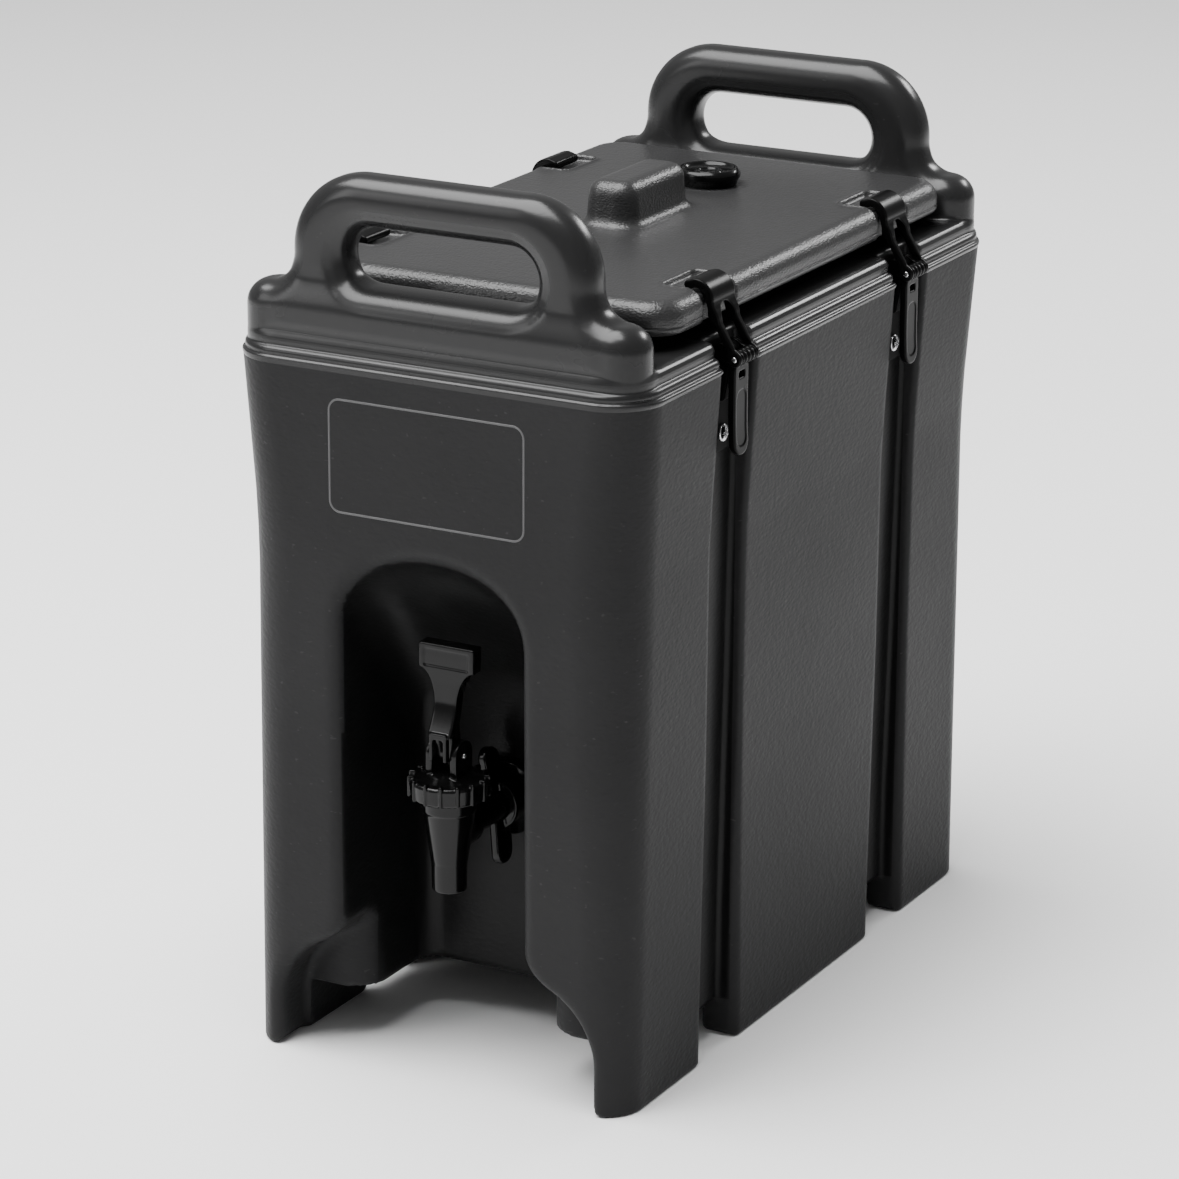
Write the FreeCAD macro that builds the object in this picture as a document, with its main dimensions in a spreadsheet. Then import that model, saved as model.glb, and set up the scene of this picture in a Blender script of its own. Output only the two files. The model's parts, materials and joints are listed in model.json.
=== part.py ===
"""Insulated countertop beverage dispenser: double-wall body, latched lid and lift faucet.

Frame: +Z up, -Y the front (faucet) side, +X to the right of someone who faces the front seen from outside.
The origin is the middle of the footprint, on the surface that the runners stand on. Units are millimetres.
"""

import FreeCAD
import Part
import os
import Sketcher
from FreeCAD import Placement, Rotation, Vector

doc = FreeCAD.newDocument("BeverageDispenser")

# ---------------------------------------------------------------- driving dimensions

DIMENSIONS = {
    # body walls: half sizes and plan corner radii at the foot, the waist and the ledge
    "foot_half_width": 110.7,
    "foot_half_depth": 207.2,
    "foot_corner": 22,
    "waist_height": 280,
    "waist_half_width": 111.8,
    "wall_half_depth": 209.5,
    "waist_corner": 31,
    "ledge_height": 371.4,
    "ledge_half_width": 117.3,
    "ledge_corner": 27,
    "deck_height": 386.5,
    "skin": 4,
    # end humps and carrying handles
    "hump_half_width": 112.8,
    "hump_inner": 172.2,
    "hump_outer": 204,
    "hump_top": 409,
    "hump_edge": 11,
    "hump_corner": 18,
    "handle_inner": 173.25,
    "handle_thickness": 27,
    "handle_half_width": 85.5,
    "handle_root_half_width": 91,
    "handle_top": 467,
    "handle_corner": 40,
    "handle_gap_half_width": 54,
    "handle_gap_low": 409.5,
    "handle_gap_high": 441,
    "handle_gap_corner": 17,
    "handle_edge": 11,
    # latch channels, runners, skirt arches and mug bay
    "latch_offset": 100.6,
    "channel_half_width": 18.2,
    "channel_foot": 100,
    "channel_bend_height": 76,
    "channel_head": 105,
    "runner_inner": 91,
    "underside_height": 29.5,
    "runner_notch_height": 22,
    "skirt_inner": 181,
    "arch_half_width": 91.5,
    "arch_top": 66,
    "arch_corner": 41,
    "bay_half_width": 52.3,
    "bay_wall": 123,
    "bay_wall_top": 176,
    "bay_top": 289.9,
    # tank
    "tank_half_width": 68,
    "tank_front": -128,
    "tank_sump_front": -72,
    "tank_rear": 148,
    "tank_floor_front": 112,
    "tank_floor_rear": 118,
    "tank_step_low": 215,
    "tank_step_high": 300,
    "tank_corner": 18,
    "neck_width": 10,
    "neck_top": 390.2,
    # lid
    "lid_half_width": 106,
    "lid_front": -157,
    "lid_rear": 171.5,
    "lid_bottom": 393.7,
    "lid_parting": 398.6,
    "lid_widest": 402,
    "lid_top": 411.5,
    "lid_corner": 19,
    "plug_depth": 12,
    "plug_clearance": 1.5,
    "pocket_inner": 82,
    "pocket_half_width": 17.2,
    "pocket_floor": 408.5,
    "recess_inner": 102,
    "boss_centre": 9,
    "boss_half_length": 37,
    "boss_half_width": 17,
    "boss_top": 435,
    "vent_offset": 92,
    "vent_hole_radius": 9,
    "vent_cap_radius": 17.25,
    "vent_cap_top": 421,
    # latches, given for a latch on the right side
    "lever_pivot_x": 110.5,
    "lever_pivot_height": 378,
    "hook_pivot_x": 119,
    "hook_pivot_height": 376,
    "latch_pin_radius": 2,
    "running_gap": 0.05,
    "bracket_width": 26,
    "bracket_foot": 325,
    "bracket_plate": 3,
    "lug_width": 9,
    "lug_radius": 4.4,
    "lever_width": 15.5,
    "lever_foot": 325,
    "lever_plate": 4,
    "lever_eye": 4.7,
    "barrel_radius": 3.8,
    "lever_slot": 10,
    "hook_width": 24.6,
    "hook_slot": 16.4,
    "hook_eye": 4.4,
    "window_width": 14,
    "window_low": 381,
    "window_high": 403,
    "screw_height": 335,
    "screw_radius": 2.2,
    "screw_head_radius": 4.65,
    "screw_length": 7.5,
    # faucet
    "faucet_offset": 188,
    "shank_height": 130,
    "shank_radius": 8,
    "shank_bore": 5,
    "shank_end": 60,
    "spout_tip": 99.7,
    "spout_radius": 9,
    "spout_bore": 6.5,
    "chamber_floor": 113,
    "chamber_radius": 8.6,
    "collar_low": 143,
    "collar_radius": 14.3,
    "bonnet_low": 150,
    "bonnet_high": 160,
    "bonnet_radius": 21.3,
    "bonnet_crown": 165,
    "rim_radius": 16,
    "rim_top": 155,
    "gasket_top": 157,
    "fork_top": 181,
    "fork_gap": 10.4,
    "fork_width": 18,
    "fork_depth": 17,
    "handle_pivot_height": 173,
    "handle_pin_radius": 1.6,
    "stem_radius": 3,
    "stem_top": 164,
    "paddle_top": 231,
    "paddle_low": 212,
    "paddle_width": 32,
    "paddle_thickness": 8.5,
    "neck_breadth": 15,
    "nut_hub_radius": 13,
    "nut_rear": 130,
    "nut_front": 141,
    "wing_half_length": 31.5,
    "wing_thickness": 5,
    "washer_radius": 20,
    "washer_thickness": 4,
    "gasket_radius": 17,
    "inner_nut_radius": 14,
    "inner_nut_length": 8,
}

sheet = doc.addObject("Spreadsheet::Sheet", "Dimensions")
for row, (alias, number) in enumerate(DIMENSIONS.items(), start=1):
    sheet.set(f"A{row}", alias)
    sheet.set(f"B{row}", str(number))
    sheet.setAlias(f"B{row}", alias)
doc.recompute()


def size(alias):
    """The value of one cell of the sheet."""
    return float(sheet.get(alias))


def cell(alias):
    """The expression that reads one cell of the sheet."""
    return "Dimensions." + alias


pieces = []


# ---------------------------------------------------------------- helpers for Part shapes


def rounded_wire(half_x, low_y, high_y, corner, height):
    """A rectangle with round corners, as a closed wire in a level plane."""
    far = corner * (1 - 0.5**0.5)
    edges = []
    for x, y, sx, sy in (
        (half_x, low_y, 1, -1),
        (half_x, high_y, 1, 1),
        (-half_x, high_y, -1, 1),
        (-half_x, low_y, -1, -1),
    ):
        level = Vector(x, y - sy * corner, height)
        across = Vector(x - sx * corner, y, height)
        middle = Vector(x - sx * far, y - sy * far, height)
        first, last = (across, level) if sx * sy < 0 else (level, across)
        edges.append((first, middle, last))
    path = []
    for index, (first, middle, last) in enumerate(edges):
        path.append(Part.Arc(first, middle, last).toShape())
        following = edges[(index + 1) % 4][0]
        path.append(Part.LineSegment(last, following).toShape())
    return Part.Wire(path)


def stack(sections):
    """A ruled solid through level rounded rectangles, each (half_x, low_y, high_y, corner, height)."""
    return Part.makeLoft([rounded_wire(*section) for section in sections], True, True)


def prism(points, start, length, axis):
    """A polygon of (across, height) points, drawn in XZ or YZ, and extruded along the third axis."""
    if axis == "Y":
        corners = [Vector(a, start, z) for a, z in points]
        run = Vector(0, length, 0)
    else:
        corners = [Vector(start, a, z) for a, z in points]
        run = Vector(length, 0, 0)
    return Part.Face(Part.makePolygon(corners + corners[:1])).extrude(run)


def arch(half_width, corner, top, low_y, depth):
    """A cutter whose section has a level bottom and two round upper corners."""
    spring = top - corner
    flat = half_width - corner
    far = corner * 0.5**0.5
    foot = -1
    edges = [
        Part.LineSegment(Vector(-half_width, low_y, foot), Vector(-half_width, low_y, spring)),
        Part.Arc(
            Vector(-half_width, low_y, spring),
            Vector(-flat - far, low_y, spring + far),
            Vector(-flat, low_y, top),
        ),
    ]
    if flat > 0:
        edges.append(Part.LineSegment(Vector(-flat, low_y, top), Vector(flat, low_y, top)))
    edges += [
        Part.Arc(
            Vector(flat, low_y, top),
            Vector(flat + far, low_y, spring + far),
            Vector(half_width, low_y, spring),
        ),
        Part.LineSegment(Vector(half_width, low_y, spring), Vector(half_width, low_y, foot)),
        Part.LineSegment(Vector(half_width, low_y, foot), Vector(-half_width, low_y, foot)),
    ]
    return Part.Face(Part.Wire([edge.toShape() for edge in edges])).extrude(Vector(0, depth, 0))


def block(low, high):
    """A box between two corners."""
    return Part.makeBox(high[0] - low[0], high[1] - low[1], high[2] - low[2], Vector(*low))


def edges_where(shape, rule):
    """The edges of a shape whose bounding box meets a rule."""
    return [edge for edge in shape.Edges if rule(edge.BoundBox)]


def feature(name, shape, place=Vector()):
    """A piece whose shape is set in code, then moved to its place."""
    item = doc.addObject("Part::Feature", name)
    item.Label = name
    item.Shape = shape
    item.Placement = Placement(place, Rotation())
    pieces.append(item)
    return item


# ---------------------------------------------------------------- body


def wall_section(height, offset=0.0):
    """The body's outside at a height, moved out by an offset."""
    heights = (0, size("waist_height"), size("ledge_height"))
    half_x = (size("foot_half_width"), size("waist_half_width"), size("ledge_half_width"))
    half_y = (size("foot_half_depth"), size("wall_half_depth"), size("wall_half_depth"))
    corner = (size("foot_corner"), size("waist_corner"), size("ledge_corner"))
    span = 0 if height < heights[1] else 1
    part = min((height - heights[span]) / (heights[span + 1] - heights[span]), 1)

    def between(values):
        return values[span] + (values[span + 1] - values[span]) * part + offset

    return (between(half_x), -between(half_y), between(half_y), between(corner), height)


def shoulder_profile():
    """Heights and outward offsets of the moulded bead, groove, band and rail above the ledge."""
    ledge = size("ledge_height")
    deck = size("deck_height")
    return [
        (ledge + 0.4, 0.2),
        (ledge + 1.8, 0.2),
        (ledge + 2.2, -1.3),
        (ledge + 4.6, -1.3),
        (ledge + 6.6, -2.7),
        (ledge + 7.1, -4.0),
        (ledge + 11.1, -4.2),
        (deck - 1.0, -6.6),
        (deck, -9.0),
    ]


def body_block():
    """The solid body up to its deck."""
    sections = [wall_section(height) for height in (0, size("waist_height"), size("ledge_height"))]
    sections += [wall_section(height, offset) for height, offset in shoulder_profile()]
    return stack(sections)


def hump(side):
    """The raised block at one end, that its handle stands on."""
    half = size("hump_half_width")
    near, far = sorted((side * size("hump_inner"), side * size("hump_outer")))
    shape = block((-half, near, size("ledge_height")), (half, far, size("hump_top")))
    outer = side * size("hump_outer")
    upright = edges_where(shape, lambda b: b.ZLength > 20 and abs(b.YMin - outer) < 1)
    shape = shape.makeFillet(size("hump_corner"), upright)
    rim = edges_where(shape, lambda b: b.ZLength < 0.01 and b.ZMin > size("hump_top") - 1)
    return shape.makeFillet(size("hump_edge"), rim)


def handle_outline(low_y):
    """Outer wire of a carrying handle, drawn at one Y."""
    root = size("handle_root_half_width")
    half = size("handle_half_width")
    top = size("handle_top")
    corner = size("handle_corner")
    far = corner * 0.5**0.5
    foot = size("deck_height")
    flare = size("hump_top") + 12
    right = [
        Part.LineSegment(Vector(root, low_y, foot), Vector(root, low_y, size("hump_top") - 2)),
        Part.LineSegment(Vector(root, low_y, size("hump_top") - 2), Vector(half, low_y, flare)),
        Part.LineSegment(Vector(half, low_y, flare), Vector(half, low_y, top - corner)),
        Part.Arc(
            Vector(half, low_y, top - corner),
            Vector(half - corner + far, low_y, top - corner + far),
            Vector(half - corner, low_y, top),
        ),
    ]
    crown = [Part.LineSegment(Vector(half - corner, low_y, top), Vector(corner - half, low_y, top))]
    left = [
        Part.Arc(
            Vector(corner - half, low_y, top),
            Vector(corner - half - far, low_y, top - corner + far),
            Vector(-half, low_y, top - corner),
        ),
        Part.LineSegment(Vector(-half, low_y, top - corner), Vector(-half, low_y, flare)),
        Part.LineSegment(Vector(-half, low_y, flare), Vector(-root, low_y, size("hump_top") - 2)),
        Part.LineSegment(Vector(-root, low_y, size("hump_top") - 2), Vector(-root, low_y, foot)),
    ]
    sill = [Part.LineSegment(Vector(-root, low_y, foot), Vector(root, low_y, foot))]
    return Part.Wire([edge.toShape() for edge in right + crown + left + sill])


def carrying_handle(side):
    """One carrying handle with its round hand gap."""
    near = min(side * size("handle_inner"), side * (size("handle_inner") + size("handle_thickness")))
    thick = size("handle_thickness")
    shape = Part.Face(handle_outline(near)).extrude(Vector(0, thick, 0))
    rim = edges_where(shape, lambda b: b.YLength < 0.01 and b.ZMax > size("hump_top") + 1)
    shape = shape.makeFillet(size("handle_edge"), rim)
    gap = size("handle_gap_half_width")
    low = (-gap, near - 1, size("handle_gap_low"))
    high = (gap, near + thick + 1, size("handle_gap_high"))
    void = block(low, high)
    void = void.makeFillet(size("handle_gap_corner") - 2, edges_where(void, lambda b: b.YLength > thick))
    shape = shape.cut(void)
    mouth = edges_where(
        shape,
        lambda b: b.YLength < 0.01 and b.XLength < 2 * gap + 1 and b.ZMax < size("handle_gap_high") + 0.5
        and b.ZMin > size("hump_top"),
    )
    return shape.makeFillet(size("handle_edge") - 1, mouth)


def channel_floor(height):
    """X of a latch channel's floor on the right side."""
    foot = size("channel_foot")
    bend = size("channel_bend_height")
    slope = (size("channel_head") - foot) / (size("ledge_height") - bend)
    return foot + slope * max(height - bend, 0)


def channel(side, offset, margin):
    """The cutter for one latch channel, grown by a margin."""
    top = size("lid_bottom")
    outside = size("ledge_half_width") + 20
    outline = [
        (side * (channel_floor(0) - margin), -1),
        (side * (channel_floor(size("channel_bend_height")) - margin), size("channel_bend_height")),
        (side * (channel_floor(top) - margin), top),
        (side * outside, top),
        (side * outside, -1),
    ]
    half = size("channel_half_width") + margin
    return prism(outline, offset - half, 2 * half, "Y")


def bay(margin):
    """The cutter for the mug bay: an arch cut back to an upright wall and a sloping ceiling."""
    half = size("bay_half_width") + margin
    front = -size("wall_half_depth") - 20
    wall = -size("bay_wall") + margin
    top = size("bay_top") + margin
    tunnel = arch(half, half, top, front, wall - front)
    slope = (size("bay_top") - size("bay_wall_top")) / (size("wall_half_depth") - size("bay_wall"))
    limit = [
        (front, -1),
        (wall, -1),
        (wall, size("bay_wall_top")),
        (front, size("bay_wall_top") + slope * (wall - front)),
    ]
    return tunnel.common(prism(limit, -half - 1, 2 * half + 2, "X"))


def tank(margin, top):
    """The tank's inside, grown by a margin, up to a height."""
    outline = [
        (size("tank_sump_front") - margin, size("tank_floor_front") - margin),
        (size("tank_rear") + margin, size("tank_floor_rear") - margin),
        (size("tank_rear") + margin, top),
        (size("tank_front") - margin, top),
        (size("tank_front") - margin, size("tank_step_high") - margin),
        (size("tank_sump_front") - margin, size("tank_step_low") - margin),
    ]
    half = size("tank_half_width") + margin
    well = prism(outline, -half, 2 * half, "X")
    front = size("tank_front") - margin
    rear = size("tank_rear") + margin
    corner = size("tank_corner") + margin
    return well.common(stack([(half, front, rear, corner, 50), (half, front, rear, corner, top)]))


def along_y(radius, low_y, high_y, height):
    """A cylinder along Y in the middle plane."""
    return Part.makeCylinder(radius, high_y - low_y, Vector(0, low_y, height), Vector(0, 1, 0))


def latch_places():
    """The four latches: name, side of the body and Y."""
    offset = size("latch_offset")
    return [
        ("front_right", 1, -offset),
        ("front_left", -1, -offset),
        ("rear_right", 1, offset),
        ("rear_left", -1, offset),
    ]


PLUG_PLACES = (-60, 150)
PLUG_RADIUS = 12
FOAM_WALL = 5
SLEEVE_WALL = 7


def body_cutters(margin):
    """The recesses in the body's outside, grown by a margin: bay, channels, skirt arches."""
    cutters = [bay(margin)]
    for _, side, offset in latch_places():
        cutters.append(channel(side, offset, margin))
    reach = size("wall_half_depth") + 20
    inner = size("skirt_inner") - margin
    half = size("arch_half_width") + margin
    corner = size("arch_corner") + margin
    top = size("arch_top") + margin
    cutters.append(arch(half, corner, top, -reach, reach - inner))
    cutters.append(arch(half, corner, top, inner, reach - inner))
    return cutters


def body_foam_shape():
    """Insulation that fills the space between the body's outer wall and its tank."""
    rise = size("underside_height") + FOAM_WALL
    sections = [wall_section(height, -FOAM_WALL) for height in (rise, size("waist_height"))]
    sections.append(wall_section(size("ledge_height") - 4, -FOAM_WALL))
    sections.append(wall_section(size("ledge_height") + 9, -11))
    foam = stack(sections)
    foam = foam.cut(tank(size("skin"), size("lid_bottom")))
    for cutter in body_cutters(FOAM_WALL):
        foam = foam.cut(cutter)
    sleeve = size("shank_radius") + SLEEVE_WALL
    near, far = -size("bay_wall") - 20, size("tank_sump_front") + 20
    return foam.cut(along_y(sleeve, near, far, size("shank_height")))


def plug_cutter(offset):
    """A foam filling hole through the underside."""
    low = size("underside_height")
    return Part.makeCylinder(PLUG_RADIUS, FOAM_WALL, Vector(0, offset, low))


def screw_hole(side, offset):
    """A latch screw's hole in the channel floor."""
    start = channel_floor(size("screw_height")) + size("bracket_plate") - size("screw_length")
    return Part.makeCylinder(
        size("screw_radius"), 20, Vector(side * start, offset, size("screw_height")), Vector(side, 0, 0)
    )


def body_shell_shape(foam):
    """The one-piece moulding: both walls, shoulder, humps, handles, bay and runners."""
    shape = body_block()
    for side in (-1, 1):
        shape = shape.fuse(hump(side)).fuse(carrying_handle(side))
    neck = size("neck_width")
    half = size("tank_half_width") + neck
    front = size("tank_front") - neck
    rear = size("tank_rear") + neck
    corner = size("tank_corner") + neck
    lip = [(half, front, rear, corner, height) for height in (size("deck_height") - 2, size("neck_top"))]
    shape = shape.fuse(stack(lip))
    for cutter in body_cutters(0):
        shape = shape.cut(cutter)
    inner = size("runner_inner")
    skirt = size("skirt_inner")
    shape = shape.cut(block((-inner, -skirt, -1), (inner, skirt, size("underside_height"))))
    reach = size("ledge_half_width") + 20
    for offset in (-size("latch_offset"), size("latch_offset")):
        half = size("channel_half_width")
        notch = block((-reach, offset - half, -1), (reach, offset + half, size("runner_notch_height")))
        shape = shape.cut(notch)
    shape = shape.cut(tank(0, size("lid_bottom"))).cut(foam)
    near, far = -size("bay_wall") - 5, size("tank_sump_front") + 5
    shape = shape.cut(along_y(size("shank_radius"), near, far, size("shank_height")))
    for _, side, offset in latch_places():
        shape = shape.cut(screw_hole(side, offset))
    for offset in PLUG_PLACES:
        shape = shape.cut(plug_cutter(offset))
    return shape.removeSplitter()


SKIN_LAP = 8
NECK_LAP = 5
SUMP_LAP = 12


def shell_blocks():
    """Boxes that part the moulding into blocks; each takes what the ones before it leave."""
    far = 1000
    ends = (("front", -1), ("rear", 1))
    sides = (("right", 1), ("left", -1))
    grip = size("handle_gap_high")
    post = size("handle_gap_low")
    deck = size("deck_height")
    foot = size("underside_height")
    cheek = size("bay_half_width")
    bay_wall = -size("latch_offset") - size("channel_half_width")
    inner = size("tank_half_width") - SKIN_LAP
    behind = size("tank_rear") - SKIN_LAP

    def box(x, y, z):
        low, high = zip(*(sorted(pair) for pair in (x, y, z)))
        return block(low, high)

    blocks = []
    for end, sy in ends:
        depth = (sy * (size("hump_inner") - NECK_LAP), sy * far)
        blocks.append((f"{end}_grip", box((-far, far), depth, (grip, far))))
        for side, sx in sides:
            blocks.append((f"{end}_{side}_post", box((0, sx * far), depth, (post, far))))
        blocks.append((f"{end}_hump", box((-far, far), depth, (deck, far))))
    for side, sx in sides:
        blocks.append((f"{side}_runner", box((0, sx * far), (-far, far), (-far, foot))))
        blocks.append((f"{side}_column", box((sx * cheek, sx * far), (-far, bay_wall), (-far, far))))
        blocks.append((f"{side}_wall", box((sx * inner, sx * far), (bay_wall, far), (-far, far))))
    middle = (-far, far)
    blocks.append(("front_panel", box(middle, (-far, bay_wall), (size("tank_step_high"), far))))
    blocks.append(("bay_ceiling", box(middle, (-far, 0), (size("bay_wall_top"), far))))
    sump_skin = size("tank_sump_front") + SUMP_LAP
    blocks.append(("bay_back", box(middle, (-far, sump_skin), (-far, far))))
    blocks.append(("rear_wall", box(middle, (behind, far), (-far, far))))
    blocks.append(("tank_floor", box(middle, (-far, far), (-far, far))))
    return blocks


def make_shell(foam):
    """The body moulding, as blocks that meet face to face."""
    shape = body_shell_shape(foam)
    for name, cutter in shell_blocks():
        feature(f"body_{name}", shape.common(cutter))
        shape = shape.cut(cutter)


# ---------------------------------------------------------------- lid


def lid_section(height, offset):
    """The lid's outline at a height, moved out by an offset."""
    return (
        size("lid_half_width") + offset,
        size("lid_front") - offset,
        size("lid_rear") + offset,
        size("lid_corner") + offset,
        height,
    )


def lid_foam_shape():
    """Insulation inside the lid, clear of the latch pockets and the vent."""
    inset = -7
    heights = (size("lid_bottom") + 4, size("pocket_floor") - 2)
    foam = stack([lid_section(height, inset) for height in heights])
    for side in (-1, 1):
        for offset in (-size("latch_offset"), size("latch_offset")):
            near, far = sorted((side * (size("pocket_inner") - 4), side * 120))
            half = size("pocket_half_width") + 4
            foam = foam.cut(block((near, offset - half, 380), (far, offset + half, 420)))
    vent = Part.makeCylinder(size("vent_hole_radius") + 4, 60, Vector(0, size("vent_offset"), 370))
    return foam.cut(vent)


def lid_shell_shape(foam):
    """The lid's closed shell with its plug, pull boss, latch pockets and vent bore."""
    top = size("lid_top")
    shape = stack([
        lid_section(size("lid_bottom"), -4),
        lid_section(size("lid_bottom") + 1.8, -1.8),
        lid_section(size("lid_parting"), -0.4),
        lid_section(size("lid_widest"), 0),
        lid_section(top - 6, -1.4),
        lid_section(top - 3, -5),
        lid_section(top - 1, -10),
        lid_section(top, -15),
    ])
    gap = size("plug_clearance")
    half = size("tank_half_width") - gap
    front = size("tank_front") + gap
    rear = size("tank_rear") - gap
    corner = size("tank_corner") - gap
    low = size("lid_bottom") - size("plug_depth")
    shape = shape.fuse(stack([(half, front, rear, corner, z) for z in (low, size("lid_bottom") + 1)]))
    centre = size("boss_centre")
    wide = size("boss_half_width")
    long = size("boss_half_length")
    steps = ((0, top - 1), (2.2, top + 3), (3, size("boss_top") - 5), (6.5, size("boss_top")))
    boss = [
        (wide - inset, centre - long + inset, centre + long - inset, wide - inset - 1, height)
        for inset, height in steps
    ]
    shape = shape.fuse(stack(boss))
    for side in (-1, 1):
        for offset in (-size("latch_offset"), size("latch_offset")):
            half = size("pocket_half_width")
            near, far = sorted((side * size("pocket_inner"), side * 120))
            shape = shape.cut(block((near, offset - half, size("pocket_floor")), (far, offset + half, 430)))
            near, far = sorted((side * size("recess_inner"), side * 120))
            shape = shape.cut(block((near, offset - half, 380), (far, offset + half, 430)))
    bore = Part.makeCylinder(size("vent_hole_radius"), 60, Vector(0, size("vent_offset"), 370))
    return shape.cut(bore).cut(foam).removeSplitter()


def lid_gasket_shape():
    """The square ring that seals the lid's rim on the neck."""
    inset = 1.5
    neck = size("neck_width") - inset
    half = size("tank_half_width")
    front = size("tank_front")
    rear = size("tank_rear")
    corner = size("tank_corner")
    levels = (size("neck_top"), size("lid_bottom"))
    outer = stack([(half + neck, front - neck, rear + neck, corner + neck, z) for z in levels])
    inner = stack([(half + inset, front - inset, rear + inset, corner + inset, z) for z in levels])
    return outer.cut(inner)


# ---------------------------------------------------------------- helpers for PartDesign bodies


def new_body(name, offset_y="0", turned=False):
    """A PartDesign body that is one piece, set along Y and, on the left side, turned half round."""
    body = doc.addObject("PartDesign::Body", name)
    body.Label = name
    body.Placement = Placement(Vector(), Rotation(Vector(0, 0, 1), 180 if turned else 0))
    body.setExpression("Placement.Base.y", offset_y)
    pieces.append(body)
    return body


def new_sketch(body, role, name):
    """A sketch on one of the body's own origin planes."""
    plane = next(item for item in body.Origin.OriginFeatures if item.Role == role)
    sketch = body.newObject("Sketcher::SketchObject", body.Name + "_" + name)
    sketch.AttachmentSupport = [(plane, "")]
    sketch.MapMode = "FlatFace"
    return sketch


def place_point(sketch, geometry, position, point):
    """Ties a point of the sketch to the sheet, as distances from the sketch's origin."""
    for kind, expression in zip(("DistanceX", "DistanceY"), point):
        value = float(sketch.evalExpression(expression))
        index = sketch.addConstraint(Sketcher.Constraint(kind, -1, 1, geometry, position, value))
        sketch.setExpression(f"Constraints[{index}]", expression)


def draw_polygon(sketch, points):
    """A closed polygon whose corners are pairs of expressions."""
    values = []
    for across, up in points:
        values.append(Vector(float(sketch.evalExpression(across)), float(sketch.evalExpression(up)), 0))
    first = sketch.GeometryCount
    count = len(points)
    for index, value in enumerate(values):
        sketch.addGeometry(Part.LineSegment(value, values[(index + 1) % count]), False)
    for index in range(count):
        following = first + (index + 1) % count
        sketch.addConstraint(Sketcher.Constraint("Coincident", first + index, 2, following, 1))
    for index, point in enumerate(points):
        place_point(sketch, first + index, 1, point)


def draw_circle(sketch, centre, radius):
    """A circle whose centre and radius are expressions."""
    value = Vector(float(sketch.evalExpression(centre[0])), float(sketch.evalExpression(centre[1])), 0)
    reach = float(sketch.evalExpression(radius))
    geometry = sketch.addGeometry(Part.Circle(value, Vector(0, 0, 1), reach), False)
    place_point(sketch, geometry, 3, centre)
    index = sketch.addConstraint(Sketcher.Constraint("Radius", geometry, reach))
    sketch.setExpression(f"Constraints[{index}]", radius)


def extrude(body, kind, sketch, length, reverse=None):
    """A pad or pocket: about the sketch's plane, or to one side of it where reverse is given."""
    item = body.newObject("PartDesign::" + kind, sketch.Name + "_" + kind.lower())
    item.Profile = sketch
    item.setExpression("Length", length)
    if reverse is None:
        item.SideType = "Symmetric"
    else:
        item.Reversed = reverse
    return item


def pad_polygon(body, name, points, width, role="XZ_Plane"):
    """A polygon pad, even about the sketch's plane."""
    sketch = new_sketch(body, role, name)
    draw_polygon(sketch, points)
    return extrude(body, "Pad", sketch, width)


def pocket_polygon(body, name, points, width, role="XZ_Plane"):
    """A polygon pocket, even about the sketch's plane."""
    sketch = new_sketch(body, role, name)
    draw_polygon(sketch, points)
    return extrude(body, "Pocket", sketch, width)


def pad_circle(body, name, centre, radius, width, role="XZ_Plane"):
    """A round pad, even about the sketch's plane."""
    sketch = new_sketch(body, role, name)
    draw_circle(sketch, centre, radius)
    return extrude(body, "Pad", sketch, width)


def pocket_circle(body, name, centre, radius, width, role="XZ_Plane"):
    """A round pocket, even about the sketch's plane."""
    sketch = new_sketch(body, role, name)
    draw_circle(sketch, centre, radius)
    return extrude(body, "Pocket", sketch, width)


def turn(body, kind, name, points):
    """A revolution or groove about the body's Z axis, from (radius, height) corners."""
    sketch = new_sketch(body, "XZ_Plane", name)
    draw_polygon(sketch, points)
    item = body.newObject("PartDesign::" + kind, sketch.Name + "_" + kind.lower())
    item.Profile = sketch
    item.ReferenceAxis = (sketch, ["V_Axis"])
    item.Angle = 360
    return item


def round_edges(body, base, name, radius, rule):
    """A fillet on the edges of a feature whose bounding box meets a rule."""
    doc.recompute()
    names = [f"Edge{i}" for i, edge in enumerate(base.Shape.Edges, start=1) if rule(edge.BoundBox)]
    item = body.newObject("PartDesign::Fillet", body.Name + "_" + name)
    item.Base = (base, names)
    item.Radius = radius
    return item


# ---------------------------------------------------------------- latches

PIVOT = (cell("lever_pivot_x"), cell("lever_pivot_height"))
HINGE = (cell("hook_pivot_x"), cell("hook_pivot_height"))
WIDE_CUT = "60"


def from_point(origin, across, up):
    """A sketch point beside another one."""
    return (f"{origin[0]} + ({across})", f"{origin[1]} + ({up})")


def floor_x(height):
    """The expression of the channel floor's X at a height."""
    rise = f"({height} - Dimensions.channel_bend_height)"
    run = "(Dimensions.ledge_height - Dimensions.channel_bend_height)"
    return f"Dimensions.channel_foot + (Dimensions.channel_head - Dimensions.channel_foot) * {rise} / {run}"


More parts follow.
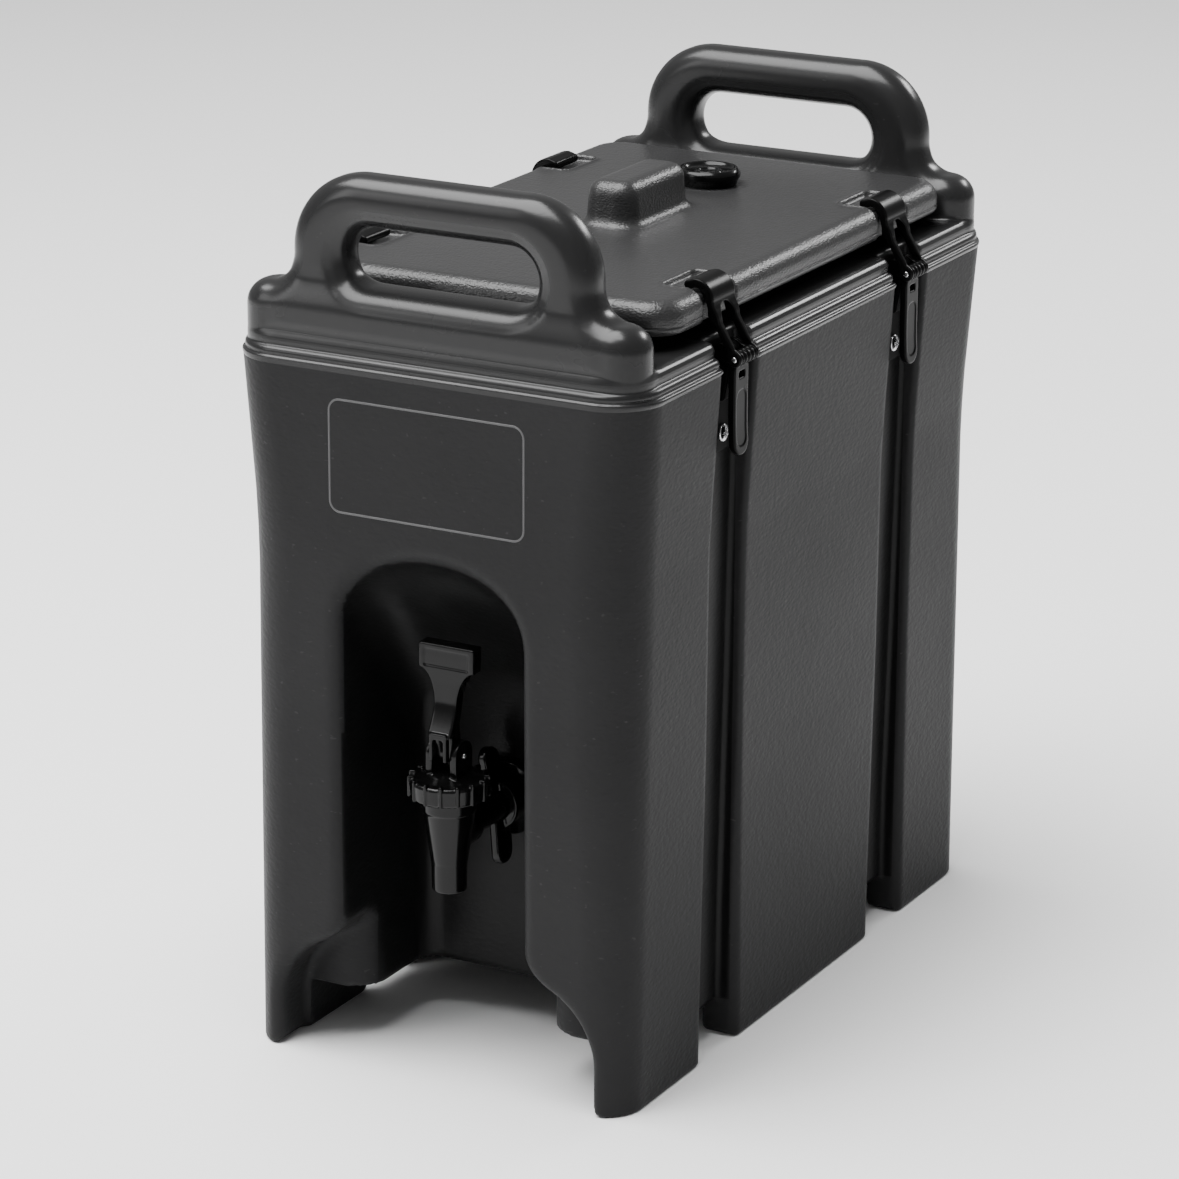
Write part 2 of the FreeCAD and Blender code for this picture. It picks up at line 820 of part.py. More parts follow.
def make_bracket(name, offset, turned):
    """Plate on the channel floor with the lug that carries the lever."""
    body = new_body(name, offset, turned)
    foot = cell("bracket_foot")
    head = cell("ledge_height")
    plate = cell("bracket_plate")
    pad_polygon(
        body,
        "plate",
        [
            (floor_x(foot), foot),
            (f"{floor_x(foot)} + {plate}", foot),
            (f"{floor_x(head)} + {plate}", head),
            (floor_x(head), head),
        ],
        cell("bracket_width"),
    )
    lug = [
        from_point(PIVOT, "-3.4", "-26"),
        from_point(PIVOT, "1.8", "-8"),
        from_point(PIVOT, "4", "0"),
        from_point(PIVOT, "-4.2", "0"),
        from_point(PIVOT, "-4.8", "-7"),
    ]
    pad_polygon(body, "lug", lug, cell("lug_width"))
    pad_circle(body, "eye", PIVOT, cell("lug_radius"), cell("lug_width"))
    pocket_circle(body, "bore", PIVOT, cell("latch_pin_radius"), WIDE_CUT)
    sketch = new_sketch(body, "YZ_Plane", "screw")
    draw_circle(sketch, ("0", cell("screw_height")), cell("screw_radius"))
    extrude(body, "Pocket", sketch, "150", True)


def make_lever(name, offset, turned):
    """Over-centre lever: two cheeks on the lug, a cross barrel for the hook, and the finger plate."""
    body = new_body(name, offset, turned)
    width = cell("lever_width")
    plate = cell("lever_plate")
    outer = f"{HINGE[0]} - 0.5"
    finger = [
        (f"{outer} - {plate}", cell("lever_foot")),
        (f"{outer} + 0.8", cell("lever_foot")),
        (f"{outer} + 0.2", f"{cell('lever_foot')} + 12"),
        (outer, f"{HINGE[1]} - 1"),
        (f"{outer} - {plate}", f"{HINGE[1]} - 1"),
    ]
    blade = pad_polygon(body, "finger", finger, width)
    low = size("lever_foot")
    round_edges(
        body, blade, "tip", 7,
        lambda b: max(b.ZLength, b.YLength) < 0.1 and b.XLength > 3 and b.ZMin < low + 0.1,
    )
    pad_circle(body, "eye", PIVOT, cell("lever_eye"), width)
    link = [
        from_point(PIVOT, "0", f"-{cell('lever_eye')}"),
        from_point(HINGE, "-1", f"-{cell('barrel_radius')} - 2"),
        from_point(HINGE, "-0.2", cell("barrel_radius")),
        from_point(PIVOT, "0", cell("lever_eye")),
    ]
    pad_polygon(body, "link", link, width)
    pad_circle(body, "barrel", HINGE, cell("barrel_radius"), width)
    slot = [
        from_point(PIVOT, "-8", "-9"),
        from_point(PIVOT, "4.55", "-9"),
        from_point(PIVOT, "4.55", "8"),
        from_point(PIVOT, "-8", "8"),
    ]
    pocket_polygon(body, "slot", slot, cell("lever_slot"))
    bore = f"{cell('latch_pin_radius')} + {cell('running_gap')}"
    pocket_circle(body, "bore", PIVOT, bore, WIDE_CUT)
    pocket_circle(body, "barrel_bore", HINGE, cell("latch_pin_radius"), WIDE_CUT)


def make_hook(name, offset, turned):
    """Hook: two arms on the lever's barrel, a windowed plate and the lip that holds the lid."""
    body = new_body(name, offset, turned)
    width = cell("hook_width")
    outline = [
        from_point(HINGE, "-3", "-4"),
        from_point(HINGE, "-10.5", "6"),
        from_point(HINGE, "-13.2", "11.5"),
        from_point(HINGE, "-14.8", "15"),
        from_point(HINGE, "-15.6", "27"),
        from_point(HINGE, "-15.8", "32.5"),
        from_point(HINGE, "-17.5", "34.6"),
        from_point(HINGE, "-22", "33.1"),
        from_point(HINGE, "-25.2", "33.2"),
        from_point(HINGE, "-24.6", "36.4"),
        from_point(HINGE, "-17", "39.6"),
        from_point(HINGE, "-12.6", "38.4"),
        from_point(HINGE, "-10.6", "34"),
        from_point(HINGE, "-11.2", "27"),
        from_point(HINGE, "-10.4", "16"),
        from_point(HINGE, "-6", "11.5"),
        from_point(HINGE, "3.5", "3.5"),
    ]
    pad_polygon(body, "side", outline, width)
    pad_circle(body, "eye", HINGE, cell("hook_eye"), width)
    fork = [
        from_point(HINGE, "-9", "-8"),
        from_point(HINGE, "8", "-8"),
        from_point(HINGE, "8", "6"),
        from_point(HINGE, "-4", "7"),
        from_point(HINGE, "-16", "7"),
    ]
    pocket_polygon(body, "fork", fork, cell("hook_slot"))
    half = f"{cell('window_width')} / 2"
    window = [
        (f"-{half}", cell("window_low")),
        (half, cell("window_low")),
        (half, f"{cell('window_high')} - 4"),
        (f"{half} - 3", cell("window_high")),
        (f"3 - {half}", cell("window_high")),
        (f"-{half}", f"{cell('window_high')} - 4"),
    ]
    sketch = new_sketch(body, "YZ_Plane", "window")
    draw_polygon(sketch, window)
    extrude(body, "Pocket", sketch, "150", True)
    bore = f"{cell('latch_pin_radius')} + {cell('running_gap')}"
    pocket_circle(body, "bore", HINGE, bore, WIDE_CUT)


def make_pin(name, offset, turned, centre, length):
    """A plain latch pin along Y."""
    body = new_body(name, offset, turned)
    pad_circle(body, "pin", centre, cell("latch_pin_radius"), length)


def make_latches():
    """All four latches, piece by piece."""
    for place, side, offset in latch_places():
        along = cell("latch_offset") if offset > 0 else "-" + cell("latch_offset")
        turned = side < 0
        make_bracket(place + "_bracket", along, turned)
        make_lever(place + "_lever", along, turned)
        make_hook(place + "_hook", along, turned)
        make_pin(place + "_lever_pin", along, turned, PIVOT, f"{cell('lever_width')} - 0.3")
        make_pin(place + "_hook_pin", along, turned, HINGE, f"{cell('hook_width')} + 0.8")


def latch_screws_shape():
    """The four pan-head screws, one through each bracket."""
    screws = []
    for _, side, offset in latch_places():
        seat = channel_floor(size("screw_height") + size("screw_head_radius")) + size("bracket_plate") + 0.02
        out = Vector(side, 0, 0)
        middle = Vector(side * seat, offset, size("screw_height"))
        shank = Part.makeCylinder(size("screw_radius"), size("screw_length"), middle, out * -1)
        edge = middle + out * 1.2
        head = Part.makeCylinder(size("screw_head_radius"), 1.2, middle, out)
        crown = Part.makeCone(size("screw_head_radius"), size("screw_head_radius") - 2, 1.6, edge, out)
        screws.append(shank.fuse(head).fuse(crown).removeSplitter())
    return Part.Compound(screws)


# ---------------------------------------------------------------- faucet

FAUCET = "-" + cell("faucet_offset")


def ring(name, inner, outer, low, high):
    """A flat ring about the faucet's upright axis."""
    body = new_body(name, FAUCET)
    turn(body, "Revolution", "section", [(inner, low), (outer, low), (outer, high), (inner, high)])
    return body


def make_faucet_body():
    """Spout, valve chamber, threaded rim and horizontal shank in one piece."""
    body = new_body("faucet_body", FAUCET)
    tip = cell("spout_tip")
    outside = [
        ("0", tip),
        (f"{cell('spout_radius')} - 1", tip),
        (cell("spout_radius"), f"{tip} + 1"),
        (cell("spout_radius"), f"{tip} + 15.3"),
        (f"{cell('collar_radius')} - 0.6", cell("collar_low")),
        (cell("collar_radius"), f"{cell('collar_low')} + 1"),
        (cell("collar_radius"), cell("bonnet_low")),
        (cell("rim_radius"), cell("bonnet_low")),
        (cell("rim_radius"), cell("rim_top")),
        ("0", cell("rim_top")),
    ]
    turn(body, "Revolution", "outside", outside)
    sketch = new_sketch(body, "XZ_Plane", "shank")
    draw_circle(sketch, ("0", cell("shank_height")), cell("shank_radius"))
    extrude(body, "Pad", sketch, f"{cell('faucet_offset')} - {cell('shank_end')}", True)
    chamber = [
        ("0", f"{tip} - 1"),
        (cell("spout_bore"), f"{tip} - 1"),
        (cell("spout_bore"), f"{cell('chamber_floor')} - 2"),
        (cell("chamber_radius"), cell("chamber_floor")),
        (cell("chamber_radius"), f"{cell('rim_top')} + 1"),
        ("0", f"{cell('rim_top')} + 1"),
    ]
    turn(body, "Groove", "chamber", chamber)
    sketch = new_sketch(body, "XZ_Plane", "bore")
    draw_circle(sketch, ("0", cell("shank_height")), cell("shank_bore"))
    extrude(body, "Pocket", sketch, "200", False)


def make_bonnet():
    """Ribbed screw ring with the fork that carries the handle."""
    body = new_body("bonnet", FAUCET)
    outer = cell("bonnet_radius")
    outside = [
        ("0", cell("bonnet_low")),
        (f"{outer} - 1", cell("bonnet_low")),
        (outer, f"{cell('bonnet_low')} + 1"),
        (outer, f"{cell('bonnet_high')} - 1.5"),
        (f"{outer} - 1.5", cell("bonnet_high")),
        (f"{outer} - 7", f"{cell('bonnet_crown')} - 1.5"),
        (f"{outer} - 11", cell("bonnet_crown")),
        ("0", cell("bonnet_crown")),
    ]
    turn(body, "Revolution", "outside", outside)
    half = f"{cell('fork_width')} / 2"
    depth = f"{cell('fork_depth')} / 2"
    fork = [
        (f"-{depth}", f"{cell('bonnet_crown')} - 2"),
        (depth, f"{cell('bonnet_crown')} - 2"),
        (depth, f"{cell('fork_top')} - 5"),
        (f"{depth} - 5", cell("fork_top")),
        (f"5 - {depth}", cell("fork_top")),
        (f"-{depth}", f"{cell('fork_top')} - 5"),
    ]
    pad_polygon(body, "fork", fork, f"2 * {half}", "YZ_Plane")
    gap = [
        ("-20", cell("bonnet_crown")),
        ("20", cell("bonnet_crown")),
        ("20", f"{cell('fork_top')} + 1"),
        ("-20", f"{cell('fork_top')} + 1"),
    ]
    pocket_polygon(body, "gap", gap, cell("fork_gap"), "YZ_Plane")
    inside = [
        ("0", f"{cell('bonnet_low')} - 1"),
        (cell("rim_radius"), f"{cell('bonnet_low')} - 1"),
        (cell("rim_radius"), cell("gasket_top")),
        (f"{cell('stem_radius')} + 0.1", cell("gasket_top")),
        (f"{cell('stem_radius')} + 0.1", f"{cell('bonnet_crown')} + 1"),
        ("0", f"{cell('bonnet_crown')} + 1"),
    ]
    turn(body, "Groove", "inside", inside)
    pin = ("0", cell("handle_pivot_height"))
    pocket_circle(body, "pin_bore", pin, cell("handle_pin_radius"), WIDE_CUT, "YZ_Plane")
    sketch = new_sketch(body, "XY_Plane", "rib_groove")
    draw_circle(sketch, (f"{outer} + 0.7", "0"), "1.4")
    groove = extrude(body, "Pocket", sketch, "200", True)
    ribs = body.newObject("PartDesign::PolarPattern", "bonnet_ribs")
    ribs.Originals = [groove]
    ribs.Axis = (sketch, ["N_Axis"])
    ribs.Angle = 360
    ribs.Occurrences = 36
    body.Tip = ribs


def make_faucet_handle():
    """Tang on the pin, knee, neck and wide pull paddle."""
    body = new_body("faucet_handle", FAUCET)
    pivot = ("0", cell("handle_pivot_height"))
    pad_circle(body, "tang_eye", pivot, "4.4", f"{cell('fork_gap')} - 0.6", "YZ_Plane")
    tang = [
        from_point(pivot, "-4.4", "0"),
        from_point(pivot, "4.4", "0"),
        from_point(pivot, "5", "18"),
        from_point(pivot, "-5", "18"),
    ]
    pad_polygon(body, "tang", tang, f"{cell('fork_gap')} - 0.6", "YZ_Plane")
    knee = [
        from_point(pivot, "-7.5", "10.5"),
        from_point(pivot, "6.5", "10.5"),
        from_point(pivot, "6.5", "19"),
        from_point(pivot, "4", "24"),
        ("3", cell("paddle_low")),
        ("-4.5", cell("paddle_low")),
        from_point(pivot, "-5", "24"),
        from_point(pivot, "-8.5", "20"),
    ]
    pad_polygon(body, "knee", knee, cell("neck_breadth"), "YZ_Plane")
    thick = cell("paddle_thickness")
    paddle = [
        (f"-{thick} / 2 - 1", f"{cell('paddle_low')} - 3"),
        (f"{thick} / 2 - 1", f"{cell('paddle_low')} - 3"),
        (f"{thick} / 2 + 1", f"{cell('paddle_top')} - 2"),
        ("1", cell("paddle_top")),
        (f"-{thick} / 2 + 1", f"{cell('paddle_top')} - 1.5"),
    ]
    blade = pad_polygon(body, "paddle", paddle, cell("paddle_width"), "YZ_Plane")
    half = size("paddle_width") / 2
    low = size("paddle_low")
    round_edges(
        body, blade, "paddle_corners", 4,
        lambda b: abs(abs(b.XMin) - half) < 0.1 and b.XLength < 0.1 and b.ZLength < 2.5 and b.ZMin > low - 4,
    )
    bore = f"{cell('handle_pin_radius')} + {cell('running_gap')}"
    pocket_circle(body, "bore", pivot, bore, WIDE_CUT, "YZ_Plane")


def shank_cylinder(name, radius, rear, front):
    """A Part cylinder about the shank's axis, between two distances in front of the body's middle."""
    item = doc.addObject("Part::Cylinder", name)
    item.Placement = Placement(Vector(), Rotation(Vector(1, 0, 0), 90))
    item.setExpression("Radius", radius)
    item.setExpression("Height", f"({front}) - ({rear})")
    item.setExpression("Placement.Base.y", f"-({rear})")
    item.setExpression("Placement.Base.z", cell("shank_height"))
    return item


def cut_bore(name, solid):
    """The piece left when the shank's hole is cut through a solid."""
    piece = doc.addObject("Part::Cut", name)
    piece.Base = solid
    piece.Tool = shank_cylinder(name + "_bore", cell("shank_radius"), "0", "300")
    piece.Label = name
    pieces.append(piece)


def shank_ring(name, radius, rear, front):
    """A washer, gasket or round nut on the shank."""
    cut_bore(name, shank_cylinder(name + "_disc", radius, rear, front))


def wing_blade(name, tilt):
    """One wing of the nut: a box with round corners, that leans forward from the hub."""
    box = doc.addObject("Part::Box", name + "_box")
    box.setExpression("Length", cell("wing_thickness"))
    box.setExpression("Width", "15")
    box.setExpression("Height", cell("wing_half_length"))
    box.Placement = Placement(Vector(), Rotation(Vector(1, 0, 0), tilt))
    box.setExpression("Placement.Base.x", f"-{cell('wing_thickness')} / 2")
    rear = f"-{cell('nut_rear')} - 0.3"
    box.setExpression("Placement.Base.y", f"{rear} - 15" if tilt < 90 else rear)
    box.setExpression("Placement.Base.z", cell("shank_height"))
    doc.recompute()
    outer = [
        (index, 6.0, 6.0)
        for index, edge in enumerate(box.Shape.Edges, start=1)
        if edge.BoundBox.XLength > 1 and abs(edge.CenterOfMass.z - size("shank_height")) > 20
    ]
    rounded = doc.addObject("Part::Fillet", name)
    rounded.Base = box
    rounded.Edges = outer
    return rounded


def make_shank_stack():
    """What clamps the faucet to the wall: washer and wing nut outside, gasket and nut inside."""
    wall = cell("bay_wall")
    gasket = f"{wall} + 3"
    washer = f"{gasket} + {cell('washer_thickness')}"
    shank_ring("shank_gasket", cell("gasket_radius"), wall, gasket)
    shank_ring("shank_washer", cell("washer_radius"), gasket, washer)
    inner = f"0 - ({cell('tank_sump_front')})"
    shank_ring("inner_gasket", cell("inner_nut_radius"), f"{inner} - 2.5", inner)
    nut = doc.addObject("Part::Prism", "inner_nut_hexagon")
    nut.Polygon = 6
    nut.Placement = Placement(Vector(), Rotation(Vector(1, 0, 0), 90))
    nut.setExpression("Circumradius", cell("inner_nut_radius"))
    nut.setExpression("Height", cell("inner_nut_length"))
    nut.setExpression("Placement.Base.y", f"2.5 + {cell('inner_nut_length')} - ({inner})")
    nut.setExpression("Placement.Base.z", cell("shank_height"))
    cut_bore("inner_nut", nut)
    wings = doc.addObject("Part::MultiFuse", "wing_nut_solid")
    hub = shank_cylinder("wing_nut_hub", cell("nut_hub_radius"), washer, cell("nut_front"))
    wings.Shapes = [hub, wing_blade("upper_wing", 8), wing_blade("lower_wing", 172)]
    cut_bore("wing_nut", wings)


def make_faucet():
    """The whole faucet."""
    make_faucet_body()
    make_bonnet()
    bore = f"{cell('stem_radius')} + 0.1"
    ring("bonnet_gasket", bore, cell("rim_radius"), cell("rim_top"), cell("gasket_top"))
    stem = new_body("valve_stem", FAUCET)
    radius = cell("stem_radius")
    floor = cell("chamber_floor")
    turn(stem, "Revolution", "section", [
        ("0", f"{floor} + 2"),
        (f"{radius} + 1.6", f"{floor} + 2"),
        (f"{radius} + 1.6", f"{floor} + 5"),
        (radius, f"{floor} + 5"),
        (radius, f"{cell('stem_top')} - 1"),
        (f"{radius} - 1", cell("stem_top")),
        ("0", cell("stem_top")),
    ])
    cup = new_body("seat_cup", FAUCET)
    reach = f"{cell('chamber_radius')} - 0.6"
    turn(cup, "Revolution", "section", [
        ("0", f"{floor} - 1.7"),
        (f"{cell('spout_bore')} + 0.1", f"{floor} - 1.7"),
        (reach, f"{floor} + 0.4"),
        (reach, f"{floor} + 8"),
        (f"{radius} + 0.2", f"{floor} + 8"),
        (f"{radius} + 0.2", f"{floor} + 5"),
        (f"{radius} + 1.6", f"{floor} + 5"),
        (f"{radius} + 1.6", f"{floor} + 2"),
        ("0", f"{floor} + 2"),
    ])
    make_faucet_handle()
    pin = new_body("handle_pin", FAUCET)
    centre = ("0", cell("handle_pivot_height"))
    pad_circle(pin, "pin", centre, cell("handle_pin_radius"), f"{cell('fork_width')} + 0.8", "YZ_Plane")
    make_shank_stack()


def make_valve_spring():
    """Coil spring between the seat cup and the bonnet gasket."""
    wire = 0.7
    turns = 7
    radius = size("stem_radius") + 1.6
    low = size("chamber_floor") + 8 + wire
    high = size("rim_top") - wire
    path = Part.makeHelix((high - low) / turns, high - low, radius)
    section = Part.Wire(Part.makeCircle(wire, Vector(radius, 0, 0), Vector(0, 1, 0)))
    coil = Part.Wire(path).makePipeShell([section], True, True)
    feature("valve_spring", coil, Vector(0, -size("faucet_offset"), low))


def make_vent():
    """Vent cap with its stem, and the seal under it."""
    cap = new_body("vent_cap", cell("vent_offset"))
    top = cell("vent_cap_top")
    lid = cell("lid_top")
    outer = cell("vent_cap_radius")
    stem = f"{cell('vent_hole_radius')} - {cell('running_gap')}"
    turn(cap, "Revolution", "section", [
        ("0", f"{lid} - 12"),
        (f"{stem} - 1", f"{lid} - 12"),
        (stem, f"{lid} - 11"),
        (stem, f"{lid} + 1.4"),
        (f"{outer} - 2", f"{lid} + 1.4"),
        (f"{outer} - 2", f"{lid} + 0.3"),
        (outer, f"{lid} + 0.3"),
        (outer, f"{top} - 1.4"),
        (f"{outer} - 1.2", top),
        (f"{outer} - 3.2", top),
        (f"{outer} - 5", f"{top} - 1.6"),
        ("0", f"{top} - 2.4"),
    ])
    seal = new_body("vent_seal", cell("vent_offset"))
    turn(seal, "Revolution", "section", [
        (f"{cell('vent_hole_radius')} + 0.2", lid),
        (f"{outer} - 2.4", lid),
        (f"{outer} - 2.4", f"{lid} + 1.4"),
        (f"{cell('vent_hole_radius')} + 0.2", f"{lid} + 1.4"),
    ])


# ---------------------------------------------------------------- assembly

insulation = body_foam_shape()
feature("body_foam", insulation)
make_shell(insulation)
feature("foam_plugs", Part.Compound([plug_cutter(offset) for offset in PLUG_PLACES]))
lid_core = lid_foam_shape()
feature("lid_foam", lid_core)
feature("lid_shell", lid_shell_shape(lid_core))
feature("lid_gasket", lid_gasket_shape())
make_vent()
make_latches()
feature("latch_screws", latch_screws_shape())
make_faucet()
make_valve_spring()
doc.recompute()

for item in doc.Objects:
    if {"Invalid", "Error"} & set(item.State):
        raise RuntimeError(f"{item.Name} failed: {item.State}")
for piece in pieces:
    if piece.Shape.isNull() or not piece.Shape.isValid() or piece.Shape.Volume <= 0:
        raise RuntimeError(f"{piece.Label} has no valid solid")

os.makedirs("parts", exist_ok=True)
for piece in pieces:
    piece.Shape.exportStep(f"parts/{piece.Label}.step")
print(len(pieces), "pieces written")
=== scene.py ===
"""Looks of the insulated beverage dispenser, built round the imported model.

Blender works in metres. Shapes are drawn in millimetres and scaled by MM. X runs to the right, the front
with the faucet faces -Y, and Z is up from the floor. The surfaces are drawn as distance fields, negative
inside, and field_mesh turns each into a mesh.
"""

import json
import math

import bmesh
import bpy
import numpy as np
from mathutils import Matrix, Vector


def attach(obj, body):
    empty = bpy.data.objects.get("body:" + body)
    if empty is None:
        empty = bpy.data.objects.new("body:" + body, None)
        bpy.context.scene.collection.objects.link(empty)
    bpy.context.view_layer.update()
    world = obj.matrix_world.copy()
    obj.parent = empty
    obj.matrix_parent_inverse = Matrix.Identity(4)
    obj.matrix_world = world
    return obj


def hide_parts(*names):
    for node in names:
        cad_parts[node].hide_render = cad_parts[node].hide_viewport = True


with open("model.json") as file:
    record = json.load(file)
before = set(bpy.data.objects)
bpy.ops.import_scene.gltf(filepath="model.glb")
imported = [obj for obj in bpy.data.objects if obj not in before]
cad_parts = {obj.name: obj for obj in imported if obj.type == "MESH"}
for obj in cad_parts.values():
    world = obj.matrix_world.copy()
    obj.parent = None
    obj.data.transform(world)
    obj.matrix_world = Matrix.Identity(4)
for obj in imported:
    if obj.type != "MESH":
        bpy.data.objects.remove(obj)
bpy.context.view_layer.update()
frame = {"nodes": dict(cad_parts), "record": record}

MM = 0.001


# ---------------------------------------------------------------- camera, floor and light

CAMERA_PLACE = (1.10437, -2.07014, 0.96408)
CAMERA_AZIMUTH = math.radians(28.905)
CAMERA_ELEVATION = math.radians(17.949)
CAMERA_ROLL = math.radians(0.171)
CAMERA_LENS = 140.2
CAMERA_SENSOR = 36
CAMERA_SHIFT = (0.02306, 0.0044)
WORLD_STRENGTH = 0.38
FLOOR_REACH = 12
FLOOR_SHADE = (0.93, 0.93, 0.93, 1)
BODY_MIDDLE = (0, 0, 0.25)
LID_MIDDLE = (0, 0, 0.42)
# name, place, target, size and power of each soft light
LIGHTS = [
    ("overhead", (-0.7, -0.6, 3.0), BODY_MIDDLE, (2.6, 2.6), 290),
    ("key", (-1.5, -1.9, 1.3), BODY_MIDDLE, (0.6, 1.2), 12),
    ("rim", (0.8, 2.6, 1.75), LID_MIDDLE, (0.9, 0.4), 30),
]


def make_camera():
    """The camera, at the azimuth and elevation from which the object is shown."""
    az, el, roll = CAMERA_AZIMUTH, CAMERA_ELEVATION, CAMERA_ROLL
    back = Vector((math.sin(az) * math.cos(el), -math.cos(az) * math.cos(el), math.sin(el)))
    level = Vector((math.cos(az), math.sin(az), 0))
    upright = back.cross(level)
    right = level * math.cos(roll) + upright * math.sin(roll)
    up = upright * math.cos(roll) - level * math.sin(roll)
    data = bpy.data.cameras.new("camera")
    data.lens = CAMERA_LENS
    data.sensor_width = CAMERA_SENSOR
    data.shift_x, data.shift_y = CAMERA_SHIFT
    data.clip_end = 50
    camera = bpy.data.objects.new("camera", data)
    turn = Matrix((right, up, back)).transposed()
    camera.matrix_world = Matrix.Translation(CAMERA_PLACE) @ turn.to_4x4()
    bpy.context.collection.objects.link(camera)
    bpy.context.scene.camera = camera


def area_light(name, place, target, size, power):
    """A soft rectangular studio light."""
    data = bpy.data.lights.new(name, "AREA")
    data.shape = "RECTANGLE"
    data.size, data.size_y = size
    data.energy = power
    light = bpy.data.objects.new(name, data)
    light.location = place
    aim = Vector(target) - Vector(place)
    light.rotation_euler = aim.to_track_quat("-Z", "Y").to_euler()
    bpy.context.collection.objects.link(light)


def make_studio():
    """Pale floor, pale world and three soft lights."""
    world = bpy.data.worlds.new("studio")
    world.use_nodes = True
    background = world.node_tree.nodes["Background"]
    background.inputs["Color"].default_value = (1, 1, 1, 1)
    background.inputs["Strength"].default_value = WORLD_STRENGTH
    bpy.context.scene.world = world
    for light in LIGHTS:
        area_light(*light)
    mesh = bpy.data.meshes.new("floor")
    corners = [(FLOOR_REACH * sx, FLOOR_REACH * sy, 0) for sx, sy in ((-1, -1), (1, -1), (1, 1), (-1, 1))]
    mesh.from_pydata(corners, [], [(0, 1, 2, 3)])
    floor = bpy.data.objects.new("floor", mesh)
    bpy.context.collection.objects.link(floor)
    material = bpy.data.materials.new("floor_paper")
    material.use_nodes = True
    shader = material.node_tree.nodes["Principled BSDF"]
    shader.inputs["Base Color"].default_value = FLOOR_SHADE
    shader.inputs["Roughness"].default_value = 0.7
    mesh.materials.append(material)


# ---------------------------------------------------------------- materials


def add(tree, kind, **values):
    """A shader node with some of its inputs or settings given."""
    node = tree.nodes.new("ShaderNode" + kind)
    for key, value in values.items():
        socket = key.replace("_", " ")
        if socket in node.inputs:
            node.inputs[socket].default_value = value
        else:
            setattr(node, key, value)
    return node


def map_range(tree, source, taken, given):
    """A node that maps one range of a value to another, where the first range may be None for 0 to 1."""
    node = add(tree, "MapRange")
    tree.links.new(source, node.inputs["Value"])
    if taken:
        node.inputs["From Min"].default_value, node.inputs["From Max"].default_value = taken
    node.inputs["To Min"].default_value, node.inputs["To Max"].default_value = given
    return node.outputs["Result"]


def mix(tree, share, first, second):
    """A colour blended by a share towards a plain second colour."""
    node = add(tree, "MixRGB")
    tree.links.new(share, node.inputs["Fac"])
    tree.links.new(first, node.inputs["Color1"])
    node.inputs["Color2"].default_value = second
    return node.outputs["Color"]


GRAIN_STRETCH = (0.6, 0.6, 1)
GLOSS_SPREAD = 0.045


def moulded_plastic(name, shade, roughness, grain, depth, edge_wear_and_sheen=0.0, tint=(1, 1, 1.02), gloss=0.5):
    """Moulded plastic: pebble grain, mottled gloss, paler edges that are partly wear and partly a painted
    highlight, and a little dust.

    grain is the size of a pebble and depth its height, in mm. The argument after depth is how pale the
    edges are, which stands for both wear and a painted highlight along them, and gloss is the shader's
    specular level.
    """

    def tone(strength):
        return (*(min(shade * strength * part, 1) for part in tint), 1)

    def pale(strength):
        return (*(min(shade * strength, 1) for _ in tint), 1)

    material = bpy.data.materials.new(name)
    material.use_nodes = True
    tree = material.node_tree
    link = tree.links.new
    shader = tree.nodes["Principled BSDF"]
    coords = add(tree, "TexCoord")
    drawn = add(tree, "Mapping")
    link(coords.outputs["Object"], drawn.inputs["Vector"])
    drawn.inputs["Scale"].default_value = GRAIN_STRETCH
    cells = add(tree, "TexVoronoi", Scale=1 / (grain * MM), Randomness=1.0)
    cells.feature = "SMOOTH_F1"
    cells.inputs["Smoothness"].default_value = 0.8
    fine = add(tree, "TexNoise", Scale=0.45 / (grain * MM), Detail=3.0, Roughness=0.6)
    broad = add(tree, "TexNoise", Scale=9.0, Detail=5.0, Roughness=0.62)
    specks = add(tree, "TexNoise", Scale=420.0, Detail=1.0, Roughness=0.5)
    for texture in (cells, fine, broad, specks):
        link(drawn.outputs["Vector"], texture.inputs["Vector"])
    height = add(tree, "Math", operation="MULTIPLY_ADD")
    link(fine.outputs["Fac"], height.inputs[0])
    height.inputs[1].default_value = 1.3
    link(cells.outputs["Distance"], height.inputs[2])
    bump = add(tree, "Bump", Strength=1.0, Distance=depth * MM)
    link(height.outputs[0], bump.inputs["Height"])
    link(bump.outputs["Normal"], shader.inputs["Normal"])
    spread = (roughness - GLOSS_SPREAD, roughness + GLOSS_SPREAD)
    link(map_range(tree, broad.outputs["Fac"], (0.3, 0.7), spread), shader.inputs["Roughness"])
    ramp = add(tree, "ValToRGB")
    link(broad.outputs["Fac"], ramp.inputs["Fac"])
    low, high = ramp.color_ramp.elements
    low.position, high.position = 0.25, 0.78
    low.color, high.color = tone(0.86), tone(1.12)
    geometry = add(tree, "NewGeometry")
    # paler edges where Pointiness is high: partly wear, partly a painted highlight along edges and ridges
    edge_wear_and_sheen_share = add(tree, "Math", operation="MULTIPLY")
    link(map_range(tree, geometry.outputs["Pointiness"], (0.53, 0.62), (0, edge_wear_and_sheen)), edge_wear_and_sheen_share.inputs[0])
    link(fine.outputs["Fac"], edge_wear_and_sheen_share.inputs[1])
    colour = mix(tree, edge_wear_and_sheen_share.outputs[0], ramp.outputs["Color"], pale(4.5))
    dust = map_range(tree, specks.outputs["Fac"], (0.72, 0.80), (0, 0.35))
    link(mix(tree, dust, colour, pale(3)), shader.inputs["Base Color"])
    shader.inputs["Specular IOR Level"].default_value = gloss
    return material


